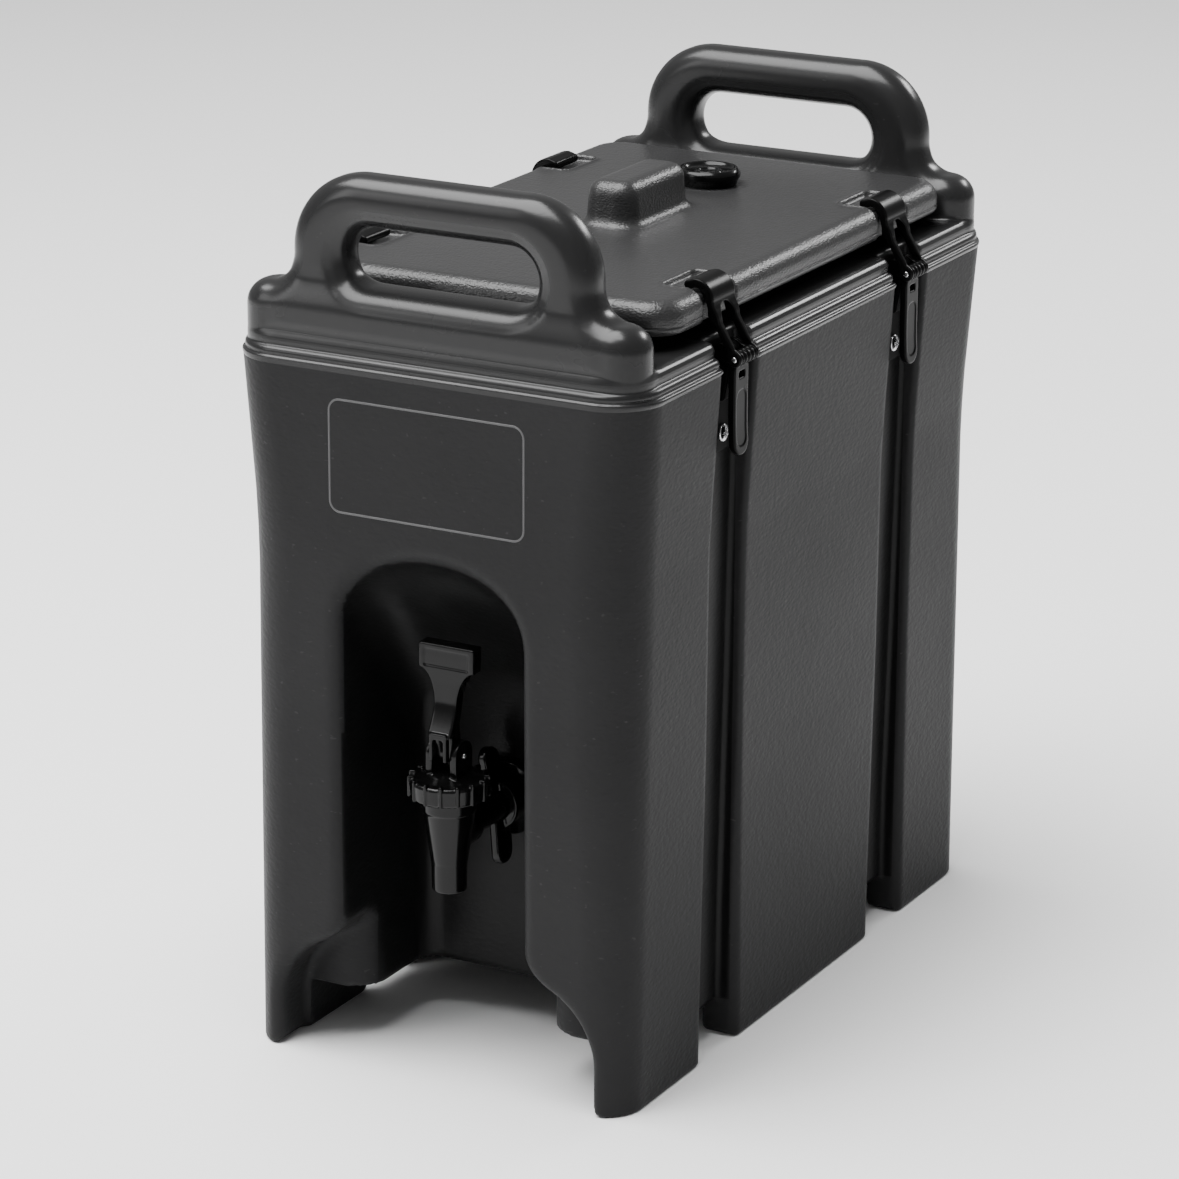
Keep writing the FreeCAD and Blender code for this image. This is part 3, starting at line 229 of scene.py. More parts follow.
def steel(name):
    """Bright turned steel with fine tool marks."""
    material = bpy.data.materials.new(name)
    material.use_nodes = True
    tree = material.node_tree
    link = tree.links.new
    shader = tree.nodes["Principled BSDF"]
    shader.inputs["Metallic"].default_value = 1.0
    coords = add(tree, "TexCoord")
    marks = add(tree, "TexNoise", Scale=2600.0, Detail=2.0, Roughness=0.5)
    stains = add(tree, "TexNoise", Scale=300.0, Detail=3.0, Roughness=0.6)
    for texture in (marks, stains):
        link(coords.outputs["Object"], texture.inputs["Vector"])
    ramp = add(tree, "ValToRGB")
    link(stains.outputs["Fac"], ramp.inputs["Fac"])
    ramp.color_ramp.elements[0].color = (0.55, 0.55, 0.56, 1)
    ramp.color_ramp.elements[1].color = (0.82, 0.82, 0.83, 1)
    link(ramp.outputs["Color"], shader.inputs["Base Color"])
    link(map_range(tree, stains.outputs["Fac"], None, (0.14, 0.34)), shader.inputs["Roughness"])
    bump = add(tree, "Bump", Strength=0.3, Distance=0.02 * MM)
    link(marks.outputs["Fac"], bump.inputs["Height"])
    link(bump.outputs["Normal"], shader.inputs["Normal"])
    return material


# ---------------------------------------------------------------- distance fields and their meshes


def round_max(a, b, radius):
    """Intersection of two fields with a round edge."""
    outside = np.hypot(np.maximum(a + radius, 0), np.maximum(b + radius, 0))
    return np.minimum(-radius, np.maximum(a, b)) + outside


def round_min(a, b, radius):
    """Union of two fields with a round inner corner."""
    return -round_max(-a, -b, radius)


def rounded_box(x, y, half_x, half_y, corner):
    """Distance to a flat rectangle with round corners."""
    qx = np.abs(x) - half_x + corner
    qy = np.abs(y) - half_y + corner
    return np.hypot(np.maximum(qx, 0), np.maximum(qy, 0)) + np.minimum(np.maximum(qx, qy), 0) - corner


def thick(flat, across, half, edge):
    """A flat shape made solid to a half thickness, with round edges."""
    a = flat + edge
    b = np.abs(across) - half + edge
    return np.hypot(np.maximum(a, 0), np.maximum(b, 0)) + np.minimum(np.maximum(a, b), 0) - edge


def bar(x, z, start, end):
    """Distance to a straight bar with round ends; start and end are (x, z, radius)."""
    ax, az, ar = start
    bx, bz, br = end
    length = (bx - ax) ** 2 + (bz - az) ** 2
    t = np.clip(((x - ax) * (bx - ax) + (z - az) * (bz - az)) / length, 0, 1)
    return np.hypot(x - ax - t * (bx - ax), z - az - t * (bz - az)) - (ar + t * (br - ar))


def chain(x, z, points, blend=1.0):
    """A bent bar through (x, z, radius) points."""
    total = bar(x, z, points[0], points[1])
    for start, end in zip(points[1:-1], points[2:]):
        total = round_min(total, bar(x, z, start, end), blend)
    return total


def lines(*stretches):
    """Grid lines, from (start, end, step) stretches that follow on."""
    values = []
    for start, end, step in stretches:
        count = max(int(round((end - start) / step)), 1)
        values.append(np.linspace(start, end, count, endpoint=False))
    values.append([stretches[-1][1]])
    return np.concatenate(values)


def mirrored(*stretches):
    """Grid lines on both sides of zero."""
    half = lines(*stretches)
    return np.concatenate([-half[:0:-1], half])


SLOPE_STEP = 0.04
SETTLE_ROUNDS = 4
FLATTEST_SLOPE = 0.2
TINY = 1e-6
SHARP_ANGLE = math.radians(38)


def field_mesh(name, field, xs, ys, zs):
    """The surface where a field is zero, as a smooth quad mesh whose corners lie on it."""
    grid = field(xs[:, None, None], ys[None, :, None], zs[None, None, :])
    grid = np.broadcast_to(grid, (len(xs), len(ys), len(zs)))
    inside = grid < 0
    corners = [(i, j, k) for i in (0, 1) for j in (0, 1) for k in (0, 1)]
    shape = tuple(n - 1 for n in inside.shape)

    def shifted(array, corner):
        return array[tuple(slice(c, c + n) for c, n in zip(corner, shape))]

    count = sum(shifted(inside, corner).astype(np.int8) for corner in corners)
    active = (count > 0) & (count < 8)
    index = np.argwhere(active)
    axes = (xs, ys, zs)
    low = np.stack([axes[a][index[:, a]] for a in range(3)], 1)
    high = np.stack([axes[a][index[:, a] + 1] for a in range(3)], 1)
    values = {corner: grid[tuple(index[:, a] + corner[a] for a in range(3))] for corner in corners}
    total = np.zeros_like(low)
    hits = np.zeros(len(index))
    for corner in corners:
        for axis in range(3):
            if corner[axis]:
                continue
            other = tuple(c + (a == axis) for a, c in enumerate(corner))
            first, second = values[corner], values[other]
            crossed = (first < 0) != (second < 0)
            share = np.where(crossed, first / np.where(crossed, first - second, 1), 0)
            point = np.where(np.array(corner), high, low).astype(float)
            point[:, axis] = low[:, axis] + share * (high[:, axis] - low[:, axis])
            total += point * crossed[:, None]
            hits += crossed
    points = total / hits[:, None]
    for _ in range(SETTLE_ROUNDS):
        value = field(points[:, 0], points[:, 1], points[:, 2])
        slope = np.zeros_like(points)
        for axis in range(3):
            ahead, behind = points.copy(), points.copy()
            ahead[:, axis] += SLOPE_STEP
            behind[:, axis] -= SLOPE_STEP
            slope[:, axis] = (field(*ahead.T) - field(*behind.T)) / (2 * SLOPE_STEP)
        scale = np.maximum((slope**2).sum(1), FLATTEST_SLOPE)
        points = np.clip(points - slope * (value / scale)[:, None], low, high)
    number = np.full(shape, -1)
    number[active] = np.arange(len(index))
    faces = []
    for axis in range(3):
        one, two = [a for a in range(3) if a != axis]
        if axis == 1:
            one, two = two, one
        ahead = [slice(None)] * 3
        behind = [slice(None)] * 3
        ahead[axis], behind[axis] = slice(1, None), slice(None, -1)
        crossing = np.argwhere(inside[tuple(ahead)] != inside[tuple(behind)])
        keep = (crossing[:, one] > 0) & (crossing[:, two] > 0)
        keep &= (crossing[:, one] < shape[one]) & (crossing[:, two] < shape[two])
        crossing = crossing[keep]
        ring = []
        for da, db in ((1, 1), (0, 1), (0, 0), (1, 0)):
            cell = crossing.copy()
            cell[:, one] -= da
            cell[:, two] -= db
            ring.append(number[tuple(cell.T)])
        quads = np.stack(ring, 1)
        outward = inside[tuple(crossing.T)]
        quads[outward] = quads[outward][:, ::-1]
        faces.append(quads[:, ::-1])
    quads = np.concatenate(faces)
    mesh = bpy.data.meshes.new(name)
    mesh.from_pydata((points * MM).tolist(), [], quads.tolist())
    mesh.validate()
    mesh.shade_smooth()
    piece = bpy.data.objects.new(name, mesh)
    bpy.context.collection.objects.link(piece)
    return piece


def thin_out(piece, most):
    """Brings a mesh under a number of triangles, losing only flat ones."""
    count = sum(len(polygon.vertices) - 2 for polygon in piece.data.polygons)
    if count <= most:
        return
    bpy.context.view_layer.objects.active = piece
    cut = piece.modifiers.new("thin", "DECIMATE")
    cut.ratio = most / count
    bpy.ops.object.modifier_apply(modifier="thin")
    piece.data.shade_smooth()


def lathe(name, profile, axis="Z", place=(0, 0, 0), segments=96):
    """A turned piece: (radius, height) corners about an axis that runs through a place."""
    build = bmesh.new()
    rings = []
    for radius, height in profile:
        ring = []
        for step in range(segments if radius > TINY else 1):
            angle = 2 * math.pi * step / segments
            ring.append(build.verts.new((radius * math.cos(angle), radius * math.sin(angle), height)))
        rings.append(ring)
    for lower, upper in zip(rings, rings[1:]):
        for step in range(segments):
            after = (step + 1) % segments
            if len(lower) == 1 and len(upper) == 1:
                continue
            if len(lower) == 1:
                build.faces.new((lower[0], upper[after], upper[step]))
            elif len(upper) == 1:
                build.faces.new((lower[step], lower[after], upper[0]))
            else:
                build.faces.new((lower[step], lower[after], upper[after], upper[step]))
    if len(rings[0]) > 1:
        for step in range(segments):
            after = (step + 1) % segments
            build.faces.new((rings[-1][step], rings[-1][after], rings[0][after], rings[0][step]))
    bmesh.ops.recalc_face_normals(build, faces=build.faces)
    turn = {
        "Z": Matrix(),
        "Y": Matrix.Rotation(math.radians(90), 4, "X"),
        "X": Matrix.Rotation(math.radians(90), 4, "Y"),
    }
    build.transform(Matrix.Scale(MM, 4) @ Matrix.Translation(place) @ turn[axis])
    mesh = bpy.data.meshes.new(name)
    build.to_mesh(mesh)
    build.free()
    mesh.shade_smooth()
    mesh.set_sharp_from_angle(angle=SHARP_ANGLE)
    piece = bpy.data.objects.new(name, mesh)
    bpy.context.collection.objects.link(piece)
    return piece


def rounded_profile(corners, radius=0.5, steps=3):
    """A turned profile with its corners rounded off."""
    points = []
    count = len(corners)
    for index, corner in enumerate(corners):
        here = Vector(corner)
        before = Vector(corners[index - 1]) - here
        after = Vector(corners[(index + 1) % count]) - here
        on_axis = corner[0] < TINY
        if on_axis or before.length < TINY or after.length < TINY:
            points.append(tuple(here))
            continue
        reach = min(radius, before.length * 0.45, after.length * 0.45)
        first, last = here + before.normalized() * reach, here + after.normalized() * reach
        for step in range(steps + 1):
            t = step / steps
            point = first * (1 - t) ** 2 + here * 2 * t * (1 - t) + last * t**2
            points.append(tuple(point))
    return points


def dress(piece, material, body, slot, *nodes):
    """Gives a piece its material and body, and hides the CAD nodes that it stands for. The slot argument
    is not used.
    """
    piece.data.materials.clear()
    piece.data.materials.append(material)
    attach(piece, body)
    if nodes:
        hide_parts(*nodes)


# ---------------------------------------------------------------- body

LEDGE = 371.4
DECK = 386.5
WALL_X, WALL_Y = 117.3, 209.5
LATCH_Y = 100.6
BAY_HALF, BAY_TOP, BAY_WALL, BAY_WALL_TOP = 52.3, 289.9, -123.0, 176.0
HAND_LOW, HAND_HIGH, HAND_HALF = 409.5, 441.0, 54.0
HUMP_TOP, HUMP_EDGE, HUMP_CORNER = 409.0, 11.5, 15.6
HUMP_Y, HUMP_HALF_X, HUMP_HALF_Y = 188.1, 112.8, 15.9
HANDLE_TOP, HANDLE_CORNER, HANDLE_HALF = 467, 40, 85.2
HANDLE_Y, HANDLE_REACH, HANDLE_EDGE = 186.75, 13.5, 12.0
CHANNEL_HALF, NOTCH_TOP = 18.2, 22
SKIRT_HALF, SKIRT_MIDDLE, SKIRT_RISE, SKIRT_CORNER = 91.5, 3, 63, 41
TANK_Y, TANK_HALF_X, TANK_HALF_Y, TANK_CORNER = 10, 68, 138, 18
TANK_STEP_Y, TANK_STEP_Z = -72, 215
NECK_WALL = 10
# radii of the edges and inner corners where the body's shapes meet
HUMP_BLEND, HANDLE_BLEND = 2.5, 7.0
BAY_EDGE, UNDERSIDE_EDGE, TANK_EDGE = 7.5, 2.2, 1.2

# the shoulder's moulded lines: height above the ledge, and offset outward from the wall
SHOULDER = [
    (-1.2, 0.0), (-0.5, 0.5), (0.3, 0.9), (1.3, 0.8), (1.9, 0.1),  # bead
    (2.2, -1.1), (3.0, -1.5), (3.5, -1.2),  # groove
    (4.2, -1.1), (5.2, -1.3), (6.2, -2.0), (6.8, -3.2), (7.2, -4.0),  # band
    (7.9, -4.15), (9.5, -3.95), (11.2, -4.1), (12.7, -4.8), (13.8, -5.8),  # rail
    (14.7, -7.6), (15.1, -10.0),
]
# the walls below the shoulder: height, half width, half depth and corner radius in plan
WALL_CORNER = 27
WALL_SECTIONS = [
    (-10, 110.7, 207.2, 22), (0, 110.7, 207.2, 22),  # foot
    (262, 111.75, 209.3, 31), (280, 112.05, 209.45, 31), (300, 113.0, WALL_Y, 31),  # waist
    (LEDGE + SHOULDER[0][0], 117.25, WALL_Y, WALL_CORNER),
]


def channel_floor(z):
    """X of a latch channel's floor."""
    return np.interp(z, [0, 76, LEDGE, 420], [100.0, 100.0, 105.0, 105.9])


def wall_field(x, y, z):
    """The outside walls with the shoulder's mouldings, closed at the deck."""
    sections = list(WALL_SECTIONS)
    for rise, offset in SHOULDER:
        sections.append((LEDGE + rise, WALL_X + offset, WALL_Y + min(offset, 0), WALL_CORNER + offset))
    _, last_x, last_y, last_corner = sections[-1]
    sections.append((500, last_x - 3, last_y - 3, last_corner))
    heights, half_x, half_y, corner = zip(*sections)
    hx, hy, cr = (np.interp(z, heights, values) for values in (half_x, half_y, corner))
    qx = np.abs(x) - hx + cr
    qy = np.abs(y) - hy + cr
    plan = np.hypot(np.maximum(qx, 0), np.maximum(qy, 0)) + np.minimum(np.maximum(qx, qy), 0) - cr
    plan = round_max(plan, z - DECK, 1.2)
    return round_max(plan, -z, 1.8)


def hump_field(x, y, z):
    """The raised blocks at both ends."""
    plan = rounded_box(x, np.abs(y) - HUMP_Y, HUMP_HALF_X, HUMP_HALF_Y, HUMP_CORNER)
    crown = HUMP_TOP - 1.6 * np.clip((np.abs(x) - 88) / 25, 0, 1) ** 2
    a = plan + HUMP_EDGE
    b = z - crown + HUMP_EDGE
    block = np.hypot(np.maximum(a, 0), np.maximum(b, 0)) + np.minimum(np.maximum(a, b), 0) - HUMP_EDGE
    return np.maximum(block, LEDGE + 5 - z)


def handle_field(x, y, z):
    """The carrying handles: fully rounded rings that rise out of the humps."""
    half = HANDLE_HALF + 5.8 * np.clip((424 - z) / 15, 0, 1.6) ** 1.6
    qx = np.abs(x) - half + HANDLE_CORNER
    qz = z - HANDLE_TOP + HANDLE_CORNER
    outer = np.hypot(np.maximum(qx, 0), np.maximum(qz, 0)) + np.minimum(np.maximum(qx, qz), 0)
    outer = outer - HANDLE_CORNER
    middle, reach = (HAND_LOW + HAND_HIGH) / 2, (HAND_HIGH - HAND_LOW) / 2
    gap = rounded_box(x, z - middle, HAND_HALF, reach, reach - 0.1)
    across = np.abs(y) - HANDLE_Y
    ring = thick(np.maximum(outer, -gap), across, HANDLE_REACH, HANDLE_EDGE)
    seam = 0.55 * np.exp(-(((np.abs(gap - 8.2)) / 0.9) ** 2)) * (np.abs(across) > 9)
    return np.maximum(ring, 394 - z) + seam


def skirt_arch(x, z):
    """Distance, seen from the front, to the arch under the skirts."""
    return rounded_box(x, z - SKIRT_MIDDLE, SKIRT_HALF, SKIRT_RISE, SKIRT_CORNER)


def bay_field(x, y, z):
    """The mug bay, and the arch through the front skirt."""
    side = np.hypot(x, np.maximum(z - (BAY_TOP - BAY_HALF), 0)) - BAY_HALF
    ring = 0.7 * np.exp(-(((np.hypot(x, z - 130) - 32) / 1.3) ** 2))
    deep = BAY_WALL - ring - y
    rise = BAY_TOP - BAY_WALL_TOP
    run = -WALL_Y - BAY_WALL
    length = math.hypot(rise, run)
    slope = (rise * (y - BAY_WALL) - run * (z - BAY_WALL_TOP)) / length
    niche = round_max(round_max(side, -deep, 12), slope, 24)
    skirt = round_max(skirt_arch(x, z), y + 181, 4)
    return round_min(niche, skirt, 16)


def underside_field(x, y, z):
    """The hollow between the runners, with the rear skirt's arch."""
    hollow = round_max(rounded_box(x, y, 91, 181, 6), z - 29.5, 3)
    return round_min(hollow, round_max(skirt_arch(x, z), 181 - y, 4), 3)


def channel_field(x, y, z):
    """The latch channels, with the notches through the runners below them."""
    across = np.abs(np.abs(y) - LATCH_Y) - CHANNEL_HALF
    trough = round_max(across, channel_floor(z) - np.abs(x), 3.0)
    notch = round_max(across, z - NOTCH_TOP, 5.0)
    return np.minimum(trough, notch)


def tank_field(x, y, z):
    """The tank and its mouth."""
    plan = rounded_box(x, y - TANK_Y, TANK_HALF_X, TANK_HALF_Y, TANK_CORNER)
    floor = np.interp(y, [-128, -72, 148], [112, 112, 118]) - z
    nx, nz = 85.0, 56.0
    ledge = (-(y - TANK_STEP_Y) * nx - (z - TANK_STEP_Z) * nz) / math.hypot(nx, nz)
    well = round_max(plan, floor, 12)
    sump = round_max(TANK_STEP_Y - y, ledge, 6)
    return round_max(well, np.where(z < 257, sump, ledge), 6)


def body_field(x, y, z):
    """The whole body moulding."""
    body = wall_field(x, y, z)
    body = round_min(body, hump_field(x, y, z), HUMP_BLEND)
    body = round_min(body, handle_field(x, y, z), HANDLE_BLEND)
    neck_x, neck_y, corner = (size + NECK_WALL for size in (TANK_HALF_X, TANK_HALF_Y, TANK_CORNER))
    neck = np.maximum(rounded_box(x, y - TANK_Y, neck_x, neck_y, corner), np.abs(z - 380) - 10.2)
    body = np.minimum(body, neck)
    channel_edge = 2.6 + 3.6 * np.clip((170 - z) / 130, 0, 1)
    body = round_max(body, -channel_field(x, y, z), channel_edge)
    body = round_max(body, -bay_field(x, y, z), BAY_EDGE)
    body = round_max(body, -underside_field(x, y, z), UNDERSIDE_EDGE)
    return round_max(body, -tank_field(x, y, z), TANK_EDGE)


def kept_faces(piece, name, keep):
    """A new piece that holds only the faces marked in keep."""
    build = bmesh.new()
    build.from_mesh(piece.data)
    unwanted = [face for face, wanted in zip(build.faces, keep) if not wanted]
    bmesh.ops.delete(build, geom=unwanted, context="FACES")
    mesh = bpy.data.meshes.new(name)
    build.to_mesh(mesh)
    build.free()
    mesh.shade_smooth()
    part = bpy.data.objects.new(name, mesh)
    bpy.context.collection.objects.link(part)
    return part


def face_centres(piece):
    """The middle of every face, in mm."""
    return np.array([face.center for face in piece.data.polygons]) / MM


def in_recess(centres):
    """Which faces lie inside a latch channel or the mug bay."""
    x, y, z = centres.T
    channel = (np.abs(np.abs(y) - LATCH_Y) < CHANNEL_HALF + 2.8) & (np.abs(x) < 107) & (z > NOTCH_TOP)
    bay = (np.abs(x) < BAY_HALF + 1) & (np.abs(y + 160) < 44) & (z < BAY_TOP + 1)
    return channel | bay


def make_body(grained, smooth, polished_with_painted_shade):
    """The body moulding: grained walls below the bead, and the smooth shoulder and handles above it.

    The recesses get a smoother, darker plastic: the smoothness is the polished mould, the darkness is
    painted shade where light falls off inside the latch channels and the mug bay.
    """
    xs = mirrored((0, 40, 5), (40, 64, 2), (64, 84, 2.7), (84, 96, 2), (96, 119, 1.6))
    ys = mirrored((0, 74, 6.2), (74, 128, 2), (128, 166, 3.4), (166, 212, 2))
    zs = lines(
        (-1.5, 5, 1.2), (5, 36, 2.2), (36, 84, 2.7), (84, 166, 5.6), (166, 232, 3.9), (232, 296, 2.4),
        (296, 368, 6), (368, 388.6, 0.4), (388.6, 414, 1.2), (414, 470, 1.6),
    )
    whole = field_mesh("body", body_field, xs, ys, zs)
    above = face_centres(whole)[:, 2] > LEDGE - 1.2
    for name, keep, upper in (("body_lower", ~above, False), ("body_upper", above, True)):
        piece = kept_faces(whole, name, keep)
        dress(piece, smooth if upper else grained, "root", "shell_plastic")
        piece.data.materials.append(polished_with_painted_shade)
        # faces in the latch channels and mug bay take the darker plastic: painted shade
        inner = in_recess(face_centres(piece)).astype(np.int32)
        piece.data.polygons.foreach_set("material_index", inner)
        for node in frame["nodes"]:
            if node.startswith("body_") and node != "body_foam":
                if node.endswith(("grip", "post", "hump")) == upper:
                    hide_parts(node)
    bpy.data.objects.remove(whole)


LABEL_HALF, LABEL_LOW, LABEL_HIGH, LABEL_CORNER = 55.35, 298.5, 356.7, 6.0
LABEL_STEPS = 8
# the outline's section: distance across it, and height over the wall
LABEL_SECTION = ((-0.75, -0.4), (-0.5, 0.1), (-0.18, 0.19), (0.18, 0.19), (0.5, 0.1), (0.75, -0.4))


def make_label_frame(material):
    """The thin raised outline of the blank label field on the front."""
    right, left = LABEL_HALF - LABEL_CORNER, LABEL_CORNER - LABEL_HALF
    high, low = LABEL_HIGH - LABEL_CORNER, LABEL_LOW + LABEL_CORNER
    path = []
    for cx, cz, start in ((right, high, 0), (left, high, 90), (left, low, 180), (right, low, 270)):
        for step in range(LABEL_STEPS + 1):
            angle = math.radians(start + step * 90 / LABEL_STEPS)
            path.append((cx + LABEL_CORNER * math.cos(angle), cz + LABEL_CORNER * math.sin(angle)))
    build = bmesh.new()
    rings = []
    count = len(path)
    for index, (x, z) in enumerate(path):
        px, pz = path[index - 1]
        nx, nz = path[(index + 1) % count]
        tangent = Vector((nx - px, nz - pz)).normalized()
        out = Vector((tangent.y, -tangent.x))
        ring = []
        for across, proud in LABEL_SECTION:
            ring.append(build.verts.new((x + out.x * across, -WALL_Y - proud, z + out.y * across)))
        rings.append(ring)
    for index, ring in enumerate(rings):
        after = rings[(index + 1) % count]
        for k in range(len(ring)):
            beside = (k + 1) % len(ring)
            build.faces.new((ring[k], ring[beside], after[beside], after[k]))
    bmesh.ops.recalc_face_normals(build, faces=build.faces)
    build.transform(Matrix.Scale(MM, 4))
    mesh = bpy.data.meshes.new("label_frame")
    build.to_mesh(mesh)
    build.free()
    mesh.shade_smooth()
    piece = bpy.data.objects.new("label_frame", mesh)
    bpy.context.collection.objects.link(piece)
    dress(piece, material, "root", "shell_plastic")


# ---------------------------------------------------------------- lid

LID_LOW, LID_TOP = 393.7, 411.5
VENT_Y = 92.0
LID_MIDDLE_Y, LID_HALF_X, LID_HALF_Y, LID_CORNER = 7.25, 106.0, 164.25, 19
BOSS_Y, BOSS_HALF_X, BOSS_HALF_Y, BOSS_TOP = 9.5, 15.2, 35.2, 435.2
POCKET_HALF, POCKET_FLOOR = 17.2, 408.9
POCKET_INNER, RECESS_INNER = 82, 102
VENT_BORE = 9.0
PLUG_GAP = 1.5


def pocket_plan(x, y):
    """Distance, in plan, to the latch pockets at the lid's edges."""
    return round_max(POCKET_INNER - np.abs(x), np.abs(np.abs(y) - LATCH_Y) - POCKET_HALF, 4)


def lid_field(x, y, z):
    """The lid with its plug, pull boss, pockets and vent bore."""
    plan = rounded_box(x, y - LID_MIDDLE_Y, LID_HALF_X, LID_HALF_Y, LID_CORNER)
    pocket = pocket_plan(x, y)
    rim = 0.9 * np.exp(-(((pocket - 1.4) / 1.1) ** 2)) * np.clip((104 - np.abs(x)) / 6, 0, 1)
    vent = np.hypot(x, y - VENT_Y)
    ring = 0.35 * np.exp(-(((vent - 19.3) / 0.8) ** 2))
    crown = LID_TOP - 0.3 + 0.5 * np.clip(-plan / 100, 0, 1) + rim + ring
    seam = 0.5 * np.exp(-(((z - 398.6) / 0.45) ** 2))
    lid = round_max(plan, z - crown, 9.5)
    lid = round_max(lid, LID_LOW - z, 4.2) + seam * (z < 402)
    base = rounded_box(x, y - BOSS_Y, BOSS_HALF_X, BOSS_HALF_Y, 11)
    draft = 1.6 * np.clip((z - 412) / 23, 0, 1)
    boss = round_max(base + draft, z - BOSS_TOP, 7.5)
    lid = round_min(lid, boss, 5.5)
    scoop = POCKET_FLOOR - 0.9 * np.clip((np.abs(x) - 84) / 16, 0, 1)
    lid = round_max(lid, -round_max(pocket, scoop - z, 2.2), 0.9)
    recess = round_max(RECESS_INNER - np.abs(x), np.abs(np.abs(y) - LATCH_Y) - POCKET_HALF, 3)
    lid = round_max(lid, -recess, 1.6)
    plug_x, plug_y, corner = (size - PLUG_GAP for size in (TANK_HALF_X, TANK_HALF_Y, TANK_CORNER))
    plug = np.maximum(rounded_box(x, y - TANK_Y, plug_x, plug_y, corner), np.abs(z - 390) - 8.3)
    lid = round_min(lid, plug, 1.5)
    return np.maximum(lid, VENT_BORE - vent)


def make_lid(material):
    """The lid moulding."""
    xs = mirrored((0, 26, 1.5), (26, 78, 3.6), (78, 107, 1.2))
    ys = lines(
        (-159, -140, 1.6), (-140, -120, 2.8), (-120, -80, 1.4), (-80, -34, 3.4), (-34, 54, 1.7),
        (54, 66, 2.4), (66, 110, 1.3), (110, 122, 1.5), (122, 154, 3.2), (154, 173.5, 1.6),
    )
    zs = lines(
        (380.5, 392, 2.2), (392, 397, 0.9), (397, 400.4, 0.3), (400.4, 413.5, 0.8), (413.5, 437, 1.5),
    )
    lid = field_mesh("lid_moulding", lid_field, xs, ys, zs)
    thin_out(lid, 150000)
    dress(lid, material, "lid", "lid_plastic", "lid_shell")


# ---------------------------------------------------------------- latches

PIVOT = (110.5, 378.0)
HINGE = (119.0, 376.0)
BEND, BEND_RADIUS = (97.4, 404.7), 8.2
SCREW_Z, BRACKET_Z = 335.0, 348.2
# name, side along X and end along Y
LATCHES = [("front_right", 1, -1), ("front_left", -1, -1), ("rear_right", 1, 1), ("rear_left", -1, 1)]


def disc_field(x, z, centre, radius):
    """Distance to a circle in the latch's side view."""
    return np.hypot(x - centre[0], z - centre[1]) - radius


def hook_field(x, y, z):
    """Hook: a straight strap with an arched window, two legs with eyes, and a round lip."""
    bend_x, bend_z = BEND
    strap = [(*HINGE, 2.4), (107.6, 397.0, 1.6), (bend_x + BEND_RADIUS, bend_z, 2.1)]
    side = chain(x, z, strap, 4)
    corner = np.abs(disc_field(x, z, BEND, BEND_RADIUS)) - 2.3
    corner = np.maximum(corner, np.maximum(bend_x - x, bend_z - z))
    lip = bar(x, z, (bend_x, bend_z + BEND_RADIUS, 2.3), (93.9, 411.7, 2.4))
    side = np.minimum(np.minimum(side, corner), lip)
    side = round_min(side, disc_field(x, z, HINGE, 3.9), 1.5)
    half = 10.4 + 1.9 * np.clip((z - 380) / 22, 0, 1)
    total = thick(side, y, half, 0.9)
    window = np.hypot(y, np.maximum(z - 395.4, 0)) - (7.2 + 0.7 * np.clip((395.4 - z) / 14, 0, 1))
    fork = round_max(np.abs(y) - 8.15, z - (HINGE[1] + 6.5), 1.0)
    total = round_max(total, -fork, 0.6)
    return round_max(total, -np.maximum(window, 371 - z), 0.7)


def lever_field(x, y, z):
    """Lever: ridged barrel between two cheeks, and the finger plate with its shallow panel."""
    eye = disc_field(x, z, PIVOT, 4.6)
    link = bar(x, z, (*PIVOT, 3.6), (HINGE[0] - 1, HINGE[1], 3.4))
    cheeks = round_max(round_min(eye, link, 1), np.abs(np.abs(y) - 6.4) - 1.35, 0.5)
    ridge = 0.35 * np.cos(2 * math.pi * y / 3.9)
    barrel = round_max(disc_field(x, z, HINGE, 3.75 + ridge), np.abs(y) - 7.75, 0.5)
    middle = 116.4 + 1.0 * np.clip((348 - z) / 23, 0, 1) ** 2
    plate = thick(rounded_box(y, z - 350.4, 7.5, 25.4, 7.2), x - middle, 2.0, 0.9)
    panel = round_max(rounded_box(y, z - 344, 5.0, 14.5, 4.4), middle + 1.5 - x, 0.3)
    plate = round_max(plate, -panel, 0.3)
    slot = rounded_box(y, z - 366.6, 3.4, 1.8, 1.2)
    plate = round_max(plate, -slot, 0.3)
    return round_min(round_min(cheeks, barrel, 0.6), plate, 1.4)


def bracket_field(x, y, z):
    """Bracket: plate on the channel floor, with the lug that carries the lever."""
    seat = channel_floor(z)
    plate = thick(rounded_box(y, z - BRACKET_Z, 13, 23.2, 3), x - seat - 1.5, 1.5, 0.6)
    rib = bar(x, z, (109.2, 354, 1.6), (110.6, 371, 3.0))
    lug = round_max(np.minimum(rib, disc_field(x, z, PIVOT, 4.3)), np.abs(y) - 4.5, 0.5)
    rails = thick(rounded_box(np.abs(y) - 11.4, z - BRACKET_Z, 1.3, 22, 1), x - seat - 2.4, 2.2, 0.8)
    return round_min(round_min(plate, lug, 1.5), rails, 0.6)


def screw_field(x, y, z):
    """Pan-head screw with a dished cross recess, seated on the bracket."""
    seat = channel_floor(SCREW_Z) + 3.0
    across, up = np.abs(y), np.abs(z - SCREW_Z)
    off = np.hypot(y, z - SCREW_Z)
    dome = seat + 2.9 - 0.055 * off**2
    head = round_max(round_max(off - 4.65, x - dome, 0.5), seat - 0.02 - x, 0.2)
    cross = np.minimum(np.maximum(across - 0.55, up - 2.5), np.maximum(up - 0.55, across - 2.5))
    head = round_max(head, -np.maximum(np.minimum(cross, off - 1.3), seat + 1.1 - x), 0.15)
    shank = np.maximum(off - 2.15, np.abs(x - (seat - 3.6)) - 3.8)
    return np.minimum(head, shank)


